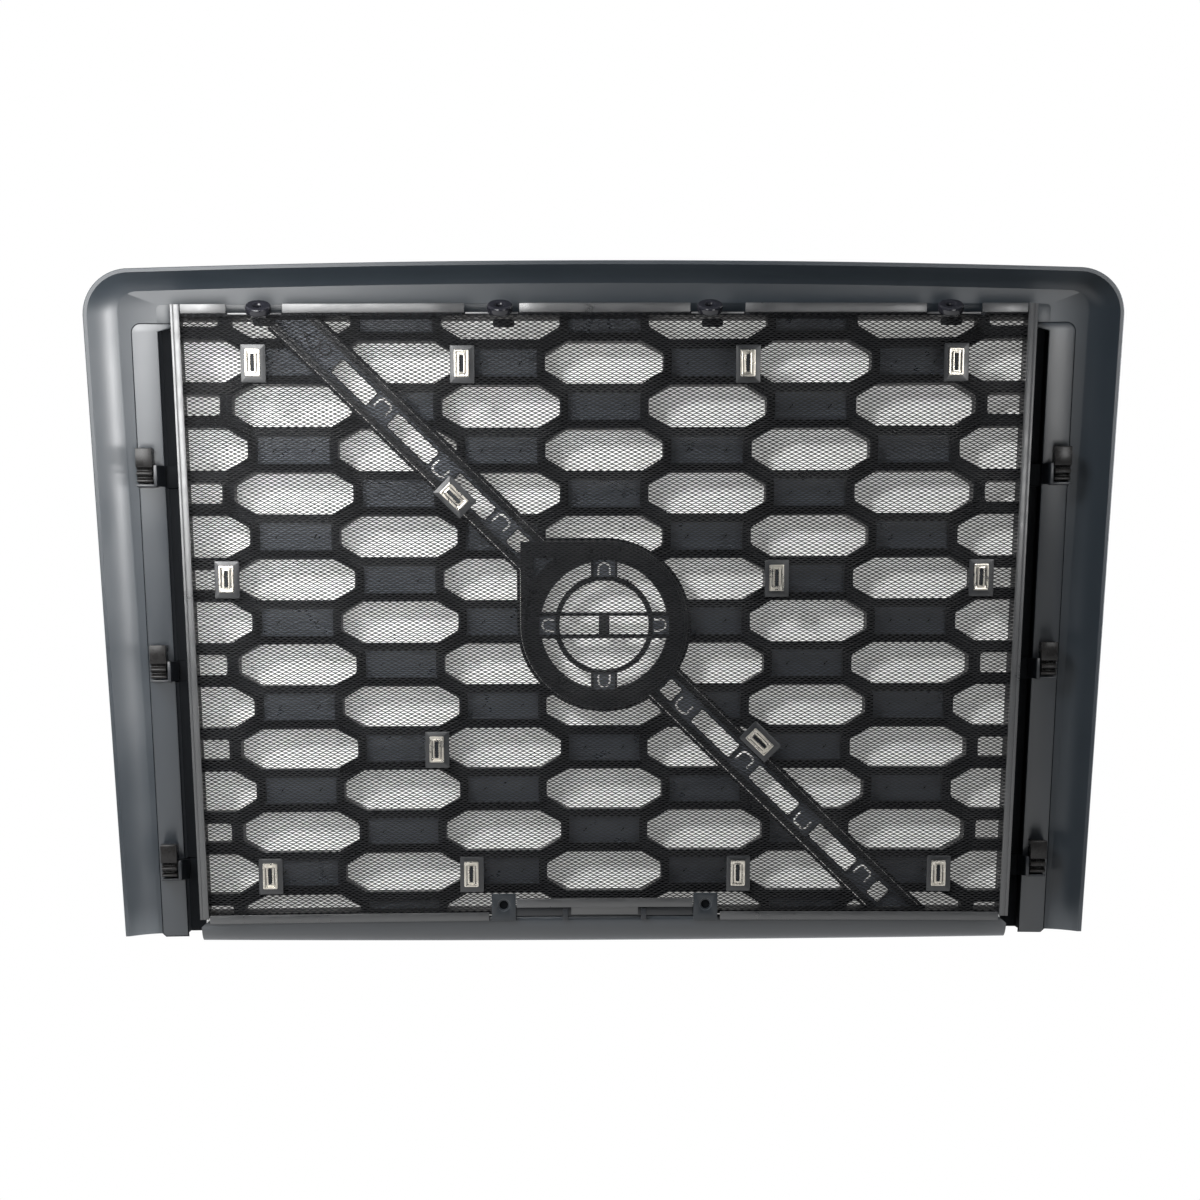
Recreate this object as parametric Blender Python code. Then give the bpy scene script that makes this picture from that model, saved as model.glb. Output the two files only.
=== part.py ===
"""Front grille of a heavy truck with its bug screen: surround, honeycomb insert, badge carrier and fasteners.

Axes: +X to the right as seen from behind the grille, +Y forwards through it, +Z up. The origin is the
centre of the badge seat. Every piece is drawn flat, in (x, depth, z) with the depth growing forwards, and
then bent into place: the grille is bowed in plan, with its middle forwards, and it leans back at the top.
"""

import math

import bmesh
import bpy
from mathutils import Matrix, Vector
from mathutils.geometry import delaunay_2d_cdt

# ---- the overall shape ----
LEAN = math.radians(12.0)
BOW_RADIUS = 3.8
GAP = 0.0004
LEVEL_STEP = 1e-7

# ---- surround: half widths and heights of its lines, at the top corners ----
HALF_WIDTH = 0.525
TOP = 0.360
CROWN = 0.011
CORNER_RADIUS = 0.047
SIDE_TAPER = 0.032
LIP = 0.004
COVE_WIDTH = 0.028
COVE_HEIGHT = 0.016
COVE_RADIUS_DROP = 0.024
COVE_SWELL = 0.18
COVE_STEPS = 5
CORNER_STEPS = 10
TOP_STEPS = 9
WALL = 0.0028
LIP_DEPTH = -0.034
LIP_HEIGHT = 0.009
LAND_DEPTH = -0.010
SHELF_DEPTH = 0.014
LEG_FOOT = -0.326
LAND_HALF_WIDTH = 0.4548
LAND_TOP = 0.3262
LAND_TAPER = 0.0185
LAND_CROWN = 0.004
LAND_RADIUS = 0.004
SHELF_HALF_WIDTH = 0.4385
SHELF_TOP = 0.3190
PAD_STRIP_HALF_WIDTH = 0.4808
PAD_STRIP_TOP = 0.3065
PAD_STRIP_FOOT = -0.3288
PAD_STRIP_RISE = 0.0012
PAD_STRIP_CORNER = 0.008
PAD_STRIP_CORNER_CUT = 0.3

# ---- honeycomb insert ----
INSERT_HALF_WIDTH = 0.4365
INSERT_TOP = 0.3165
INSERT_CROWN = 0.0035
INSERT_FOOT = -0.3075
INSERT_TAPER = 0.019
INSERT_SPANS = 13
INSERT_WALL = 0.004
FLANGE_WIDTH = 0.004
FLANGE_LEVELS = (0.0095, 0.0135)
SKIN_LEVELS = (0.0125, 0.016)
CELL_LEVELS = (-0.012, 0.016)
WALL_LEVELS = (-0.038, 0.016)
CELL_PITCH = 0.214
ROW_PITCH = 0.0445
ROW_ZERO = 0.004
MOST_ROW = 7
CELL_HALF_LENGTH = 0.061
CELL_HALF_FLAT = 0.039
CELL_HALF_HEIGHT = 0.0215
CELL_HALF_SIDE = 0.0085
POCKET_SIZE = (0.080, 0.030)
SIDE_WINDOW_CENTRE = 0.422
SIDE_WINDOW_SIZE = (0.056, 0.021)

# ---- badge carrier: a ring with a channel running out of it both ways ----
BAND_ANGLE = math.radians(-44.3)
BAND_HALF_WIDTH = 0.0190
BAND_LENGTH = 0.470
RING_RADIUS = 0.0875
RING_BORE = 0.067
INNER_RING_RADIUS = 0.0525
INNER_RING_BORE = 0.047
CARRIER_LEVELS = (-0.014, 0.0)
RIB_LEVELS = (-0.018, 0.0)
FLOOR_LEVELS = (-0.006, 0.0)
SOCKET_LEVELS = (-0.016, -0.004)
SLOT_CLEARANCE = 0.0008
SLOT_RIM = 0.003
WINDOW_HALF_WIDTH = 0.0090
UPPER_WINDOWS = ((0.117, 0.135), (0.166, 0.218), (0.248, 0.306), (0.335, 0.384))
LOWER_WINDOWS = ((0.0905, 0.107), (0.137, 0.193), (0.223, 0.283), (0.313, 0.370))
UPPER_SOCKETS = (0.152, 0.2355, 0.3215)
LOWER_SOCKETS = (0.1205, 0.2075, 0.298, 0.3845)
SOCKET_LENGTH = 0.020
SOCKET_HALF_WIDTH = 0.0080
BAR_HEIGHT = 0.0115
BAR_HALF_THICKNESS = 0.0024
BAR_BITE = 0.004
STUB_HALF_WIDTH = 0.006
SOCKET_RADIUS = 0.0605
SOCKET_SIZE = (0.027, 0.018)
RING_STEPS = 28

# ---- bug screen and its edge strips ----
SCREEN_HALF_WIDTH = 0.4350
SCREEN_TOP = 0.3155
SCREEN_FOOT = -0.3065
SCREEN_LEVELS = (-0.0398, -0.0384)
EDGE_LEVELS = (-0.0445, -0.0402)
RAIL_WIDTH = 0.009
RAIL_HALF_WIDTH = 0.4375
TOP_STRIPS = (
    (-0.4275, -0.3820), (-0.3260, -0.1430), (-0.0870, 0.0870), (0.1430, 0.3260), (0.3820, 0.4275),
)
TOP_STRIP_HEIGHTS = (0.3148, 0.3240)
FOOT_STRIP_REACH = (0.1225, 0.4158)
FOOT_STRIP_HEIGHTS = (-0.3135, -0.3045)
MIDDLE_STRIP_HALF_WIDTH = 0.0935
MIDDLE_STRIP_HEIGHTS = (-0.2995, -0.2900)
MIDDLE_LIP_HALF_WIDTH = 0.0355
MIDDLE_LIP_FOOT = -0.3075
MIDDLE_LIP_LEVELS = (-0.0425, -0.0402)
LUG_NOTCH = (0.0170, 0.0090)

# ---- lower crossmember ----
ROLL_TOP = -0.3085
ROLL_HALF_WIDTH = 0.4250
ROLL_CHAMFER = 0.010
ROLL_CROWN = 0.005
ROLL_HEIGHT = 0.0295
ROLL_SECTION = (
    (-0.0384, -0.3085), (-0.0398, -0.3100), (-0.0398, -0.3190), (-0.0375, -0.3255), (-0.0320, -0.3325),
    (-0.0245, -0.3370), (-0.0160, -0.3380), (0.0060, -0.3380), (0.0105, -0.3365), (0.0120, -0.3325),
    (0.0120, -0.3180), (0.0092, -0.3180), (0.0092, -0.3318), (0.0078, -0.3345), (0.0055, -0.3352),
    (-0.0155, -0.3352), (-0.0232, -0.3344), (-0.0300, -0.3306), (-0.0350, -0.3243), (-0.0370, -0.3184),
    (-0.0370, -0.3085),
)
TAB_CENTRE = 0.107
TAB_HALF_WIDTH = 0.0128
TAB_HEIGHTS = (-0.3135, -0.2845)
TAB_LEVELS = (-0.0436, -0.0402)
TAB_ROOT_TOP = -0.3095
TAB_ROOT_LEVELS = (-0.0436, -0.0384)
TAB_HOLE_HEIGHT = -0.2965
TAB_HOLE_RADIUS = 0.005
TAB_HOLE_STEPS = 16
FOOT_RIB_CENTRE = 0.0415
FOOT_RIB_HALF_WIDTH = 0.0028
FOOT_RIB_TOP = -0.3010

# ---- screen fasteners: x, z and turn of each blade ----
BAND_TURN = math.pi / 2 + BAND_ANGLE
BLADES = (
    (-0.357, 0.267, 0.0), (-0.146, 0.267, 0.0), (0.146, 0.267, 0.0), (0.357, 0.267, 0.0),
    (-0.155, 0.1325, BAND_TURN), (-0.389, 0.0485, 0.0), (0.178, 0.0485, 0.0), (0.388, 0.0485, 0.0),
    (-0.176, -0.1295, 0.0), (0.1625, -0.1230, BAND_TURN),
    (-0.352, -0.263, 0.0), (-0.141, -0.263, 0.0), (0.141, -0.263, 0.0), (0.352, -0.263, 0.0),
)
BLADE_SIZE = (0.0022, 0.0160)
PEDESTAL_SIZE = (0.0076, 0.0200)
BLADE_LEVELS = (-0.0480, 0.016)
CARRIER_BLADES = BLADES[4:5]
SCREEN_SLOT_SIZE = (0.0044, 0.0190)
PAD_SIZE = (0.025, 0.038)
PAD_SLOT_SIZE = (0.0034, 0.0180)
PAD_LEVELS = (-0.0416, -0.0401)
NUT_SIZE = (0.015, 0.027)
NUT_SLOT_SIZE = (0.0030, 0.0170)
NUT_RIM_LEVELS = (-0.0450, -0.0419)
NUT_BED_LEVELS = (-0.0438, -0.0419)
NUT_RIM = 0.0022

# ---- side clips and top fixing bosses ----
CLIP_CENTRES = ((0.4700, 0.1625, "upper"), (0.4625, -0.0385, "middle"), (0.4580, -0.2485, "lower"))
CLIP_WIDTH = 0.0165
CLIP_SECTION = (
    (-0.0117, 0.0195), (-0.0310, 0.0195), (-0.0318, 0.0187), (-0.0318, 0.0012), (-0.0306, 0.0000),
    (-0.0258, -0.0008), (-0.0250, -0.0022), (-0.0262, -0.0034), (-0.0298, -0.0040), (-0.0308, -0.0054),
    (-0.0298, -0.0070), (-0.0240, -0.0082), (-0.0232, -0.0098), (-0.0240, -0.0112), (-0.0276, -0.0120),
    (-0.0282, -0.0132), (-0.0268, -0.0142), (-0.0200, -0.0142), (-0.0117, -0.0160),
)
CHEEK_THICKNESS = 0.0036
CHEEK_GAP = 0.0009
CHEEK_SPREAD = 0.0060
BRIDGE_CLEARANCE = 0.0032
CHEEK_REAR = -0.0290
CHEEK_REACH = (-0.0175, 0.0020)
FLOOR_REACH = (-0.0195, -0.0168)
BRIDGE_REACH = (-0.0195, 0.0030)
BRIDGE_REAR = -0.0050
BOSS_CENTRES = (0.1065, 0.349)
BOSS_SECTION = (
    (0.0038, 0.0), (0.0115, 0.0), (0.0130, 0.0016), (0.0130, 0.0062), (0.0116, 0.0080), (0.0060, 0.0080),
    (0.0038, 0.0070),
)
BOSS_STEPS = 18
BOSS_TILT = math.radians(30)
BOSS_DEPTH = -0.0500
BOSS_SINK = 0.0016
LUG_SIZE = (0.014, 0.0036)
LUG_SINK = 0.0022
LUG_LEVELS = (-0.0440, 0.016)


def bent(x, depth, z):
    """A flat drawing's point, bowed in plan and leaned back."""
    return Vector((x, depth - z * math.tan(LEAN) - x * x / (2 * BOW_RADIUS), z))


def material(name, colour, roughness, metallic=0.0):
    made = bpy.data.materials.new(name)
    made.use_nodes = True
    shader = made.node_tree.nodes["Principled BSDF"]
    shader.inputs["Base Color"].default_value = (*colour, 1.0)
    shader.inputs["Roughness"].default_value = roughness
    shader.inputs["Metallic"].default_value = metallic
    return made


def mesh_of(work):
    """A Blender mesh from a bmesh, with its faces turned out."""
    bmesh.ops.remove_doubles(work, verts=work.verts, dist=1e-6)
    bmesh.ops.recalc_face_normals(work, faces=work.faces)
    mesh = bpy.data.meshes.new("shape")
    work.to_mesh(mesh)
    work.free()
    return mesh


def add_node(name, mesh, look):
    """One piece: its flat mesh bent into place, in an object of its own."""
    work = bmesh.new()
    work.from_mesh(mesh)
    bmesh.ops.triangulate(work, faces=work.faces)
    for vertex in work.verts:
        vertex.co = bent(*vertex.co)
    work.to_mesh(mesh)
    work.free()
    mesh.name = name
    mesh.shade_smooth()
    mesh.set_sharp_from_angle(angle=math.radians(28))
    piece = bpy.data.objects.new(name, mesh)
    piece.data.materials.append(look)
    bpy.context.scene.collection.objects.link(piece)
    return piece


def joined(base, others):
    """The flat mesh that base and others make as one solid."""
    body = bpy.data.objects.new("body", base)
    bpy.context.scene.collection.objects.link(body)
    helpers = []
    for other in others:
        helper = bpy.data.objects.new("helper", other)
        bpy.context.scene.collection.objects.link(helper)
        helpers.append(helper)
        union = body.modifiers.new("union", "BOOLEAN")
        union.operation = "UNION"
        union.solver = "EXACT"
        union.object = helper
    graph = bpy.context.evaluated_depsgraph_get()
    made = bpy.data.meshes.new_from_object(body.evaluated_get(graph))
    for thing in [body, *helpers]:
        bpy.data.objects.remove(thing)
    return made


# ---- plane outlines, all running anticlockwise in (x, z) ----
def rectangle(low, high, turn=0.0):
    """Corners of an upright rectangle, turned about its centre."""
    middle = (Vector(low) + Vector(high)) / 2
    corners = [Vector((low[0], low[1])), Vector((high[0], low[1])), Vector(high), Vector((low[0], high[1]))]
    spin = Matrix.Rotation(turn, 2)
    return [middle + spin @ (corner - middle) for corner in corners]


def box_at(centre, size, turn=0.0):
    half = Vector(size) / 2
    return rectangle(Vector(centre) - half, Vector(centre) + half, turn)


def disc(radius, steps=RING_STEPS, centre=(0.0, 0.0)):
    turns = [2 * math.pi * (i + 0.5) / steps for i in range(steps)]
    return [Vector((centre[0] + radius * math.cos(a), centre[1] + radius * math.sin(a))) for a in turns]


def crowned(x, top):
    """The height at some x of an upper edge that is crowned like the insert's."""
    return top + INSERT_CROWN * (1 - (x / INSERT_HALF_WIDTH) ** 2)


def tapered(half_width, top, foot):
    """A bay's outline: a crowned top, narrower at its foot, with a point every few centimetres across."""
    foot_half = half_width - INSERT_TAPER * (top - foot)
    across = [2 * i / INSERT_SPANS - 1 for i in range(INSERT_SPANS + 1)]
    lower = [Vector((foot_half * t, foot)) for t in across]
    upper = [Vector((half_width * t, crowned(half_width * t, top))) for t in reversed(across)]
    return lower + upper


def crowned_strip(low, high, heights):
    """A strip's outline between two x, its edges crowned like the insert's top."""
    across = [low, *spaced(low, high), high]
    lower = [Vector((x, crowned(x, heights[0]))) for x in across]
    return lower + [Vector((x, crowned(x, heights[1]))) for x in reversed(across)]


def grown(outline, by):
    """A convex outline moved outwards by one distance."""
    count = len(outline)
    moved = []
    for i in range(count):
        before = (outline[i] - outline[i - 1]).normalized()
        after = (outline[(i + 1) % count] - outline[i]).normalized()
        out_before = Vector((before.y, -before.x))
        out_after = Vector((after.y, -after.x))
        middle = (out_before + out_after).normalized()
        moved.append(outline[i] + middle * (by / middle.dot(out_before)))
    return moved


def inside(outline, x, z):
    """Whether a point is inside an outline, by counting crossings."""
    within = False
    for i, corner in enumerate(outline):
        last = outline[i - 1]
        if (corner.y > z) != (last.y > z):
            crossing = last.x + (z - last.y) / (corner.y - last.y) * (corner.x - last.x)
            within ^= x < crossing
    return within


# ---- terraced solids: a plan whose regions each have a rear and a front depth ----
def ruled(rules):
    """The depths at a point by the first rule, (outline, levels), that holds it, or None for a hole."""
    def levels_at(x, z):
        for outline, levels in rules:
            if inside(outline, x, z):
                return levels
        return None
    return levels_at


def open_spans(own, other):
    """The parts of one region's depth that its neighbour leaves bare."""
    if own is None:
        return []
    if other is None:
        return [own]
    spans = [(own[0], min(own[1], other[0])), (max(own[0], other[1]), own[1])]
    return [span for span in spans if span[1] - span[0] > LEVEL_STEP]


def terrace(outlines, levels_at, stations=()):
    """A closed flat mesh over the plan that the outlines cut up, with extra upright cuts at the stations."""
    points, edges = [], []
    for outline in outlines:
        start = len(points)
        points += outline
        edges += [(start + i, start + (i + 1) % len(outline)) for i in range(len(outline))]
    low = min(point.y for point in points)
    high = max(point.y for point in points)
    for x in stations:
        points += [Vector((x, low)), Vector((x, high))]
        edges.append((len(points) - 2, len(points) - 1))
    spots, _, triangles, *_ = delaunay_2d_cdt(points, edges, [], 0, 1e-6)
    filled = {}
    for triangle in triangles:
        middle = sum((spots[i] for i in triangle), Vector((0.0, 0.0))) / 3
        levels = levels_at(middle.x, middle.y)
        if levels:
            filled[tuple(triangle)] = levels
    return skinned(spots, filled)


def skinned(spots, filled):
    """Rear faces, front faces and the walls between regions of unequal depth."""
    used = {}
    sides = {}
    for triangle, levels in filled.items():
        for i, spot in enumerate(triangle):
            used.setdefault(spot, set()).update(levels)
            sides.setdefault(frozenset((triangle[i - 1], spot)), []).append(levels)
    work = bmesh.new()
    made = {}

    def corner(spot, level):
        key = (spot, round(level / LEVEL_STEP))
        if key not in made:
            made[key] = work.verts.new((spots[spot].x, level, spots[spot].y))
        return made[key]

    for triangle, (rear, front) in filled.items():
        work.faces.new([corner(spot, rear) for spot in triangle])
        work.faces.new([corner(spot, front) for spot in reversed(triangle)])
    for side, levels in sides.items():
        first, second = (levels + [None])[:2]
        start, end = side
        for low, high in open_spans(first, second) + open_spans(second, first):
            rising = [corner(start, level) for level in sorted(used[start]) if low <= level <= high]
            falling = [corner(end, level) for level in sorted(used[end]) if low <= level <= high]
            work.faces.new(rising + falling[::-1])
    return mesh_of(work)


def plate(outline, levels, holes=(), stations=()):
    """A flat plate with holes."""
    rules = [(hole, None) for hole in holes] + [(outline, levels)]
    return terrace([outline for outline, _ in rules], ruled(rules), stations)


def spaced(low, high, spacing=0.05):
    """Places inside a wide piece where it gets points of its own, so that it follows the bow."""
    count = max(1, round((high - low) / spacing))
    return [low + (high - low) * i / count for i in range(1, count)]


def extruded(section, low, high):
    """A closed solid of one (depth, z) section between two x."""
    work = bmesh.new()
    ends = [[work.verts.new((x, depth, z)) for depth, z in section] for x in (low, high)]
    for i in range(len(section)):
        work.faces.new((ends[0][i - 1], ends[0][i], ends[1][i], ends[1][i - 1]))
    for end in ends:
        work.faces.new(end)
    return mesh_of(work)


def block(low, high):
    """An upright box between two corners given as (x, depth, z)."""
    section = ((low[1], low[2]), (high[1], low[2]), (high[1], high[2]), (low[1], high[2]))
    return extruded(section, low[0], high[0])


def lofted(rings):
    """A closed solid through equal rings of points, capped at the first and the last."""
    work = bmesh.new()
    made = [[work.verts.new(point) for point in ring] for ring in rings]
    for ring, following in zip(made, made[1:]):
        for i in range(len(ring)):
            work.faces.new((ring[i - 1], ring[i], following[i], following[i - 1]))
    work.faces.new(made[0])
    work.faces.new(made[-1])
    return mesh_of(work)


# ---- surround ----
def u_line(half_width, top, radius, taper, crown):
    """One line of the surround, from the left leg's foot over the top to the right leg's foot."""
    start = half_width - radius
    leg_top = top - radius
    right = [(half_width - taper * (leg_top - z), z) for z in (LEG_FOOT, (LEG_FOOT + leg_top) / 2)]
    for i in range(CORNER_STEPS + 1):
        angle = math.pi / 2 * i / CORNER_STEPS
        right.append((start + radius * math.cos(angle), leg_top + radius * math.sin(angle)))
    for i in range(1, TOP_STEPS + 1):
        x = start * (1 - i / TOP_STEPS)
        right.append((x, top + crown * (1 - (x / start) ** 2)))
    left = [(-x, z) for x, z in right]
    return left + right[-2::-1]


def cove_line(along, shift):
    """A line of the cove between lip and land: along runs from 0 at the lip to 1 at the land."""
    swell = along + COVE_SWELL * math.sin(math.pi * along)
    return (
        HALF_WIDTH - LIP - COVE_WIDTH * along + shift,
        TOP - LIP - COVE_HEIGHT * along + shift,
        CORNER_RADIUS - LIP - COVE_RADIUS_DROP * along + shift,
        SIDE_TAPER,
        CROWN,
        LIP_DEPTH + (LAND_DEPTH - LIP_DEPTH) * swell + shift,
    )


def surround_lines():
    """The surround's section as closed lines: its rear skin from the lip inwards, then its front skin back."""
    lip = (HALF_WIDTH, TOP, CORNER_RADIUS, SIDE_TAPER, CROWN)
    land = (LAND_HALF_WIDTH, LAND_TOP, LAND_RADIUS, LAND_TAPER, LAND_CROWN)
    bead = (LAND_HALF_WIDTH + WALL, LAND_TOP + WALL, LAND_RADIUS + WALL, LAND_TAPER, LAND_CROWN)
    shelf = (SHELF_HALF_WIDTH, SHELF_TOP, LAND_RADIUS / 2, INSERT_TAPER, LAND_CROWN)
    shelf_front = SHELF_DEPTH + WALL
    return (
        [(*lip, LIP_DEPTH)]
        + [cove_line(i / COVE_STEPS, 0.0) for i in range(COVE_STEPS + 1)]
        + [(*land, LAND_DEPTH), (*land, SHELF_DEPTH), (*shelf, SHELF_DEPTH), (*shelf, shelf_front)]
        + [(*bead, shelf_front), (*bead, LAND_DEPTH + WALL)]
        + [cove_line(i / COVE_STEPS, WALL) for i in range(COVE_STEPS, 0, -1)]
        + [(*lip, LIP_DEPTH + LIP_HEIGHT)]
    )


def surround_shell():
    """The surround's shell, without its strips and brackets."""
    lines = [(u_line(*line), depth) for *line, depth in surround_lines()]
    stations = range(len(lines[0][0]))
    return lofted([[(line[i][0], depth, line[i][1]) for line, depth in lines] for i in stations])


def leg_x(half_width, z):
    return half_width - LAND_TAPER * (LAND_TOP - z)


def pad_strip(side):
    """The raised strip down one leg that the clips stand on."""
    foot, top, corner = PAD_STRIP_FOOT, PAD_STRIP_TOP, PAD_STRIP_CORNER
    cut = corner * PAD_STRIP_CORNER_CUT
    outer = leg_x(PAD_STRIP_HALF_WIDTH, top)
    outline = [
        (leg_x(LAND_HALF_WIDTH, foot), foot), (leg_x(PAD_STRIP_HALF_WIDTH, foot), foot),
        (outer, top - corner), (outer - cut, top - cut), (outer - corner, top),
        (leg_x(LAND_HALF_WIDTH, top), top),
    ]
    outline = [Vector((side * (x + 2 * GAP), z)) for x, z in outline]
    return plate(outline, (LAND_DEPTH - PAD_STRIP_RISE, LAND_DEPTH + WALL / 2))


def cheek(side, x, z):
    """The wall beside a clip, thicker at its root."""
    rear, root = CHEEK_REAR, LAND_DEPTH + WALL / 2
    face = x - CLIP_WIDTH / 2 - CHEEK_GAP
    back = face - CHEEK_THICKNESS
    section = ((face, rear), (back, rear), (back - CHEEK_SPREAD, root), (face, root))
    rings = [[(side * a, depth, z + height) for a, depth in section] for height in CHEEK_REACH]
    return lofted(rings)


def bracket(side, x, z):
    """A clip's moulded bracket: a cheek, a floor under the clip and a bridge over the channel."""
    inner = side * (x - CLIP_WIDTH / 2 - CHEEK_GAP - CHEEK_THICKNESS / 2)
    outer = side * (x + CLIP_WIDTH / 2)
    land = side * (leg_x(LAND_HALF_WIDTH, z) + WALL / 2)
    shelf = side * (SHELF_HALF_WIDTH - INSERT_TAPER * (SHELF_TOP - z) + BRIDGE_CLEARANCE)
    floor_low, floor_high = (z + reach for reach in FLOOR_REACH)
    return [
        cheek(side, x, z),
        block((inner, CHEEK_REAR + PAD_STRIP_RISE, floor_low), (outer, LAND_DEPTH + WALL / 2, floor_high)),
        block((shelf, BRIDGE_REAR, z + BRIDGE_REACH[0]), (land, SHELF_DEPTH + WALL / 2, z + BRIDGE_REACH[1])),
    ]


def make_surround(look):
    extras = [pad_strip(side) for side in (-1, 1)]
    for x, z, _ in CLIP_CENTRES:
        extras += bracket(-1, x, z) + bracket(1, x, z)
    add_node("surround_bezel", joined(surround_shell(), extras), look)


# ---- honeycomb insert ----
def cell_outline(x, z):
    """One elongated octagon cell."""
    right = [
        (CELL_HALF_FLAT, -CELL_HALF_HEIGHT), (CELL_HALF_LENGTH, -CELL_HALF_SIDE),
        (CELL_HALF_LENGTH, CELL_HALF_SIDE), (CELL_HALF_FLAT, CELL_HALF_HEIGHT),
    ]
    left = [(-a, -b) for a, b in right]
    return [Vector((x + a, z + b)) for a, b in right + left]


def openings():
    """Every cell and side window of the honeycomb, row by row."""
    found = []
    for row in range(-MOST_ROW, MOST_ROW + 1):
        z = ROW_ZERO + row * ROW_PITCH
        if row % 2:
            found += [cell_outline(column * CELL_PITCH, z) for column in (-1.5, -0.5, 0.5, 1.5)]
            found += [box_at((x, z), SIDE_WINDOW_SIZE) for x in (-SIDE_WINDOW_CENTRE, SIDE_WINDOW_CENTRE)]
        else:
            found += [cell_outline(column * CELL_PITCH, z) for column in (-2, -1, 0, 1, 2)]
    return found


def pockets():
    """The shallow webs between neighbouring cells of a row."""
    found = []
    for row in range(1 - MOST_ROW, MOST_ROW):
        columns = (-1, 0, 1) if row % 2 else (-1.5, -0.5, 0.5, 1.5)
        z = ROW_ZERO + row * ROW_PITCH
        found += [box_at((column * CELL_PITCH, z), POCKET_SIZE) for column in columns]
    return found


def band_outline(half_width, start=-BAND_LENGTH, end=BAND_LENGTH):
    """A rectangle along the badge bar's line, measured from the ring's centre."""
    along = Vector((math.cos(BAND_ANGLE), math.sin(BAND_ANGLE)))
    across = Vector((-along.y, along.x))
    corners = ((start, -half_width), (end, -half_width), (end, half_width), (start, half_width))
    return [along * a + across * b for a, b in corners]


def insert_bay(inset):
    """The insert's outline, moved in by some distance."""
    return grown(tapered(INSERT_HALF_WIDTH, INSERT_TOP, INSERT_FOOT), -inset)


def blade_plan(blade, size):
    x, z, turn = blade
    return box_at((x, z), size, turn)


def lug_plans(size):
    """Rectangles in the top wall where the fixing bosses stand."""
    places = [side * x for x in BOSS_CENTRES for side in (-1, 1)]
    return [box_at((x, crowned(x, INSERT_TOP) - LUG_SINK), size) for x in places]


def make_insert(look):
    flange, wall, bay = insert_bay(-FLANGE_WIDTH), insert_bay(0.0), insert_bay(INSERT_WALL)
    slots = [band_outline(BAND_HALF_WIDTH + SLOT_CLEARANCE), disc(RING_RADIUS + SLOT_CLEARANCE)]
    cells = openings()
    blades = [blade for blade in BLADES if blade not in CARRIER_BLADES]
    rules = [(slot, None) for slot in slots]
    rules += [(blade_plan(blade, BLADE_SIZE), BLADE_LEVELS) for blade in blades]
    rules += [(blade_plan(blade, PEDESTAL_SIZE), CELL_LEVELS) for blade in blades]
    rules += [(grown(slot, SLOT_RIM), CELL_LEVELS) for slot in slots]
    rules += [(cell, None) for cell in cells]
    rules += [(pocket, SKIN_LEVELS) for pocket in pockets()]
    rules.append((bay, CELL_LEVELS))
    in_bay = ruled(rules)
    lugs = lug_plans(LUG_SIZE)
    edge = ruled([(lug, LUG_LEVELS) for lug in lugs] + [(wall, WALL_LEVELS), (flange, FLANGE_LEVELS)])

    def levels_at(x, z):
        return in_bay(x, z) if inside(bay, x, z) else edge(x, z)

    outlines = [outline for outline, _ in rules] + lugs + [wall, flange]
    add_node("honeycomb_insert", terrace(outlines, levels_at), look)


# ---- badge carrier ----
def channel_rules():
    """The channel's windows, snap sockets, floor and ribs, by distance from the ring's centre."""
    windows = [(-far, -near) for near, far in UPPER_WINDOWS] + list(LOWER_WINDOWS)
    rules = [(band_outline(WINDOW_HALF_WIDTH, low, high), None) for low, high in windows]
    for centre in [-distance for distance in UPPER_SOCKETS] + list(LOWER_SOCKETS):
        low, high = centre - SOCKET_LENGTH / 2, centre + SOCKET_LENGTH / 2
        rules.append((band_outline(SOCKET_HALF_WIDTH, low, high), SOCKET_LEVELS))
    rules.append((band_outline(WINDOW_HALF_WIDTH), FLOOR_LEVELS))
    rules.append((band_outline(BAND_HALF_WIDTH), RIB_LEVELS))
    return rules


def ring_rules():
    """The badge seat's bars, sockets and rings."""
    bar_size = (2 * RING_BORE + BAR_BITE, 2 * BAR_HALF_THICKNESS)
    bars = [box_at((0.0, side * BAR_HEIGHT), bar_size) for side in (-1, 1)]
    stub = box_at((0.0, 0.0), (2 * STUB_HALF_WIDTH, 2 * BAR_HEIGHT))
    sockets = [box_at((0.0, side * SOCKET_RADIUS), SOCKET_SIZE) for side in (-1, 1)]
    sockets += [box_at((side * SOCKET_RADIUS, 0.0), SOCKET_SIZE[::-1]) for side in (-1, 1)]
    rules = [(stub, CARRIER_LEVELS)]
    rules += [(bar, CARRIER_LEVELS) for bar in bars]
    rules += [(socket, SOCKET_LEVELS) for socket in sockets]
    rules += [(disc(INNER_RING_BORE), None), (disc(INNER_RING_RADIUS), FLOOR_LEVELS)]
    rules.append((disc(RING_BORE), None))
    rules += [(disc(RING_RADIUS - SLOT_RIM), CARRIER_LEVELS), (disc(RING_RADIUS), RIB_LEVELS)]
    return rules


def make_carrier(look):
    bay = insert_bay(INSERT_WALL + SLOT_CLEARANCE)
    blades = [(blade_plan(blade, BLADE_SIZE), (BLADE_LEVELS[0], RIB_LEVELS[1])) for blade in CARRIER_BLADES]
    rules = ring_rules() + blades + channel_rules()
    at = ruled(rules)

    def levels_at(x, z):
        return at(x, z) if inside(bay, x, z) else None

    add_node("badge_carrier", terrace([outline for outline, _ in rules] + [bay], levels_at), look)


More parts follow.
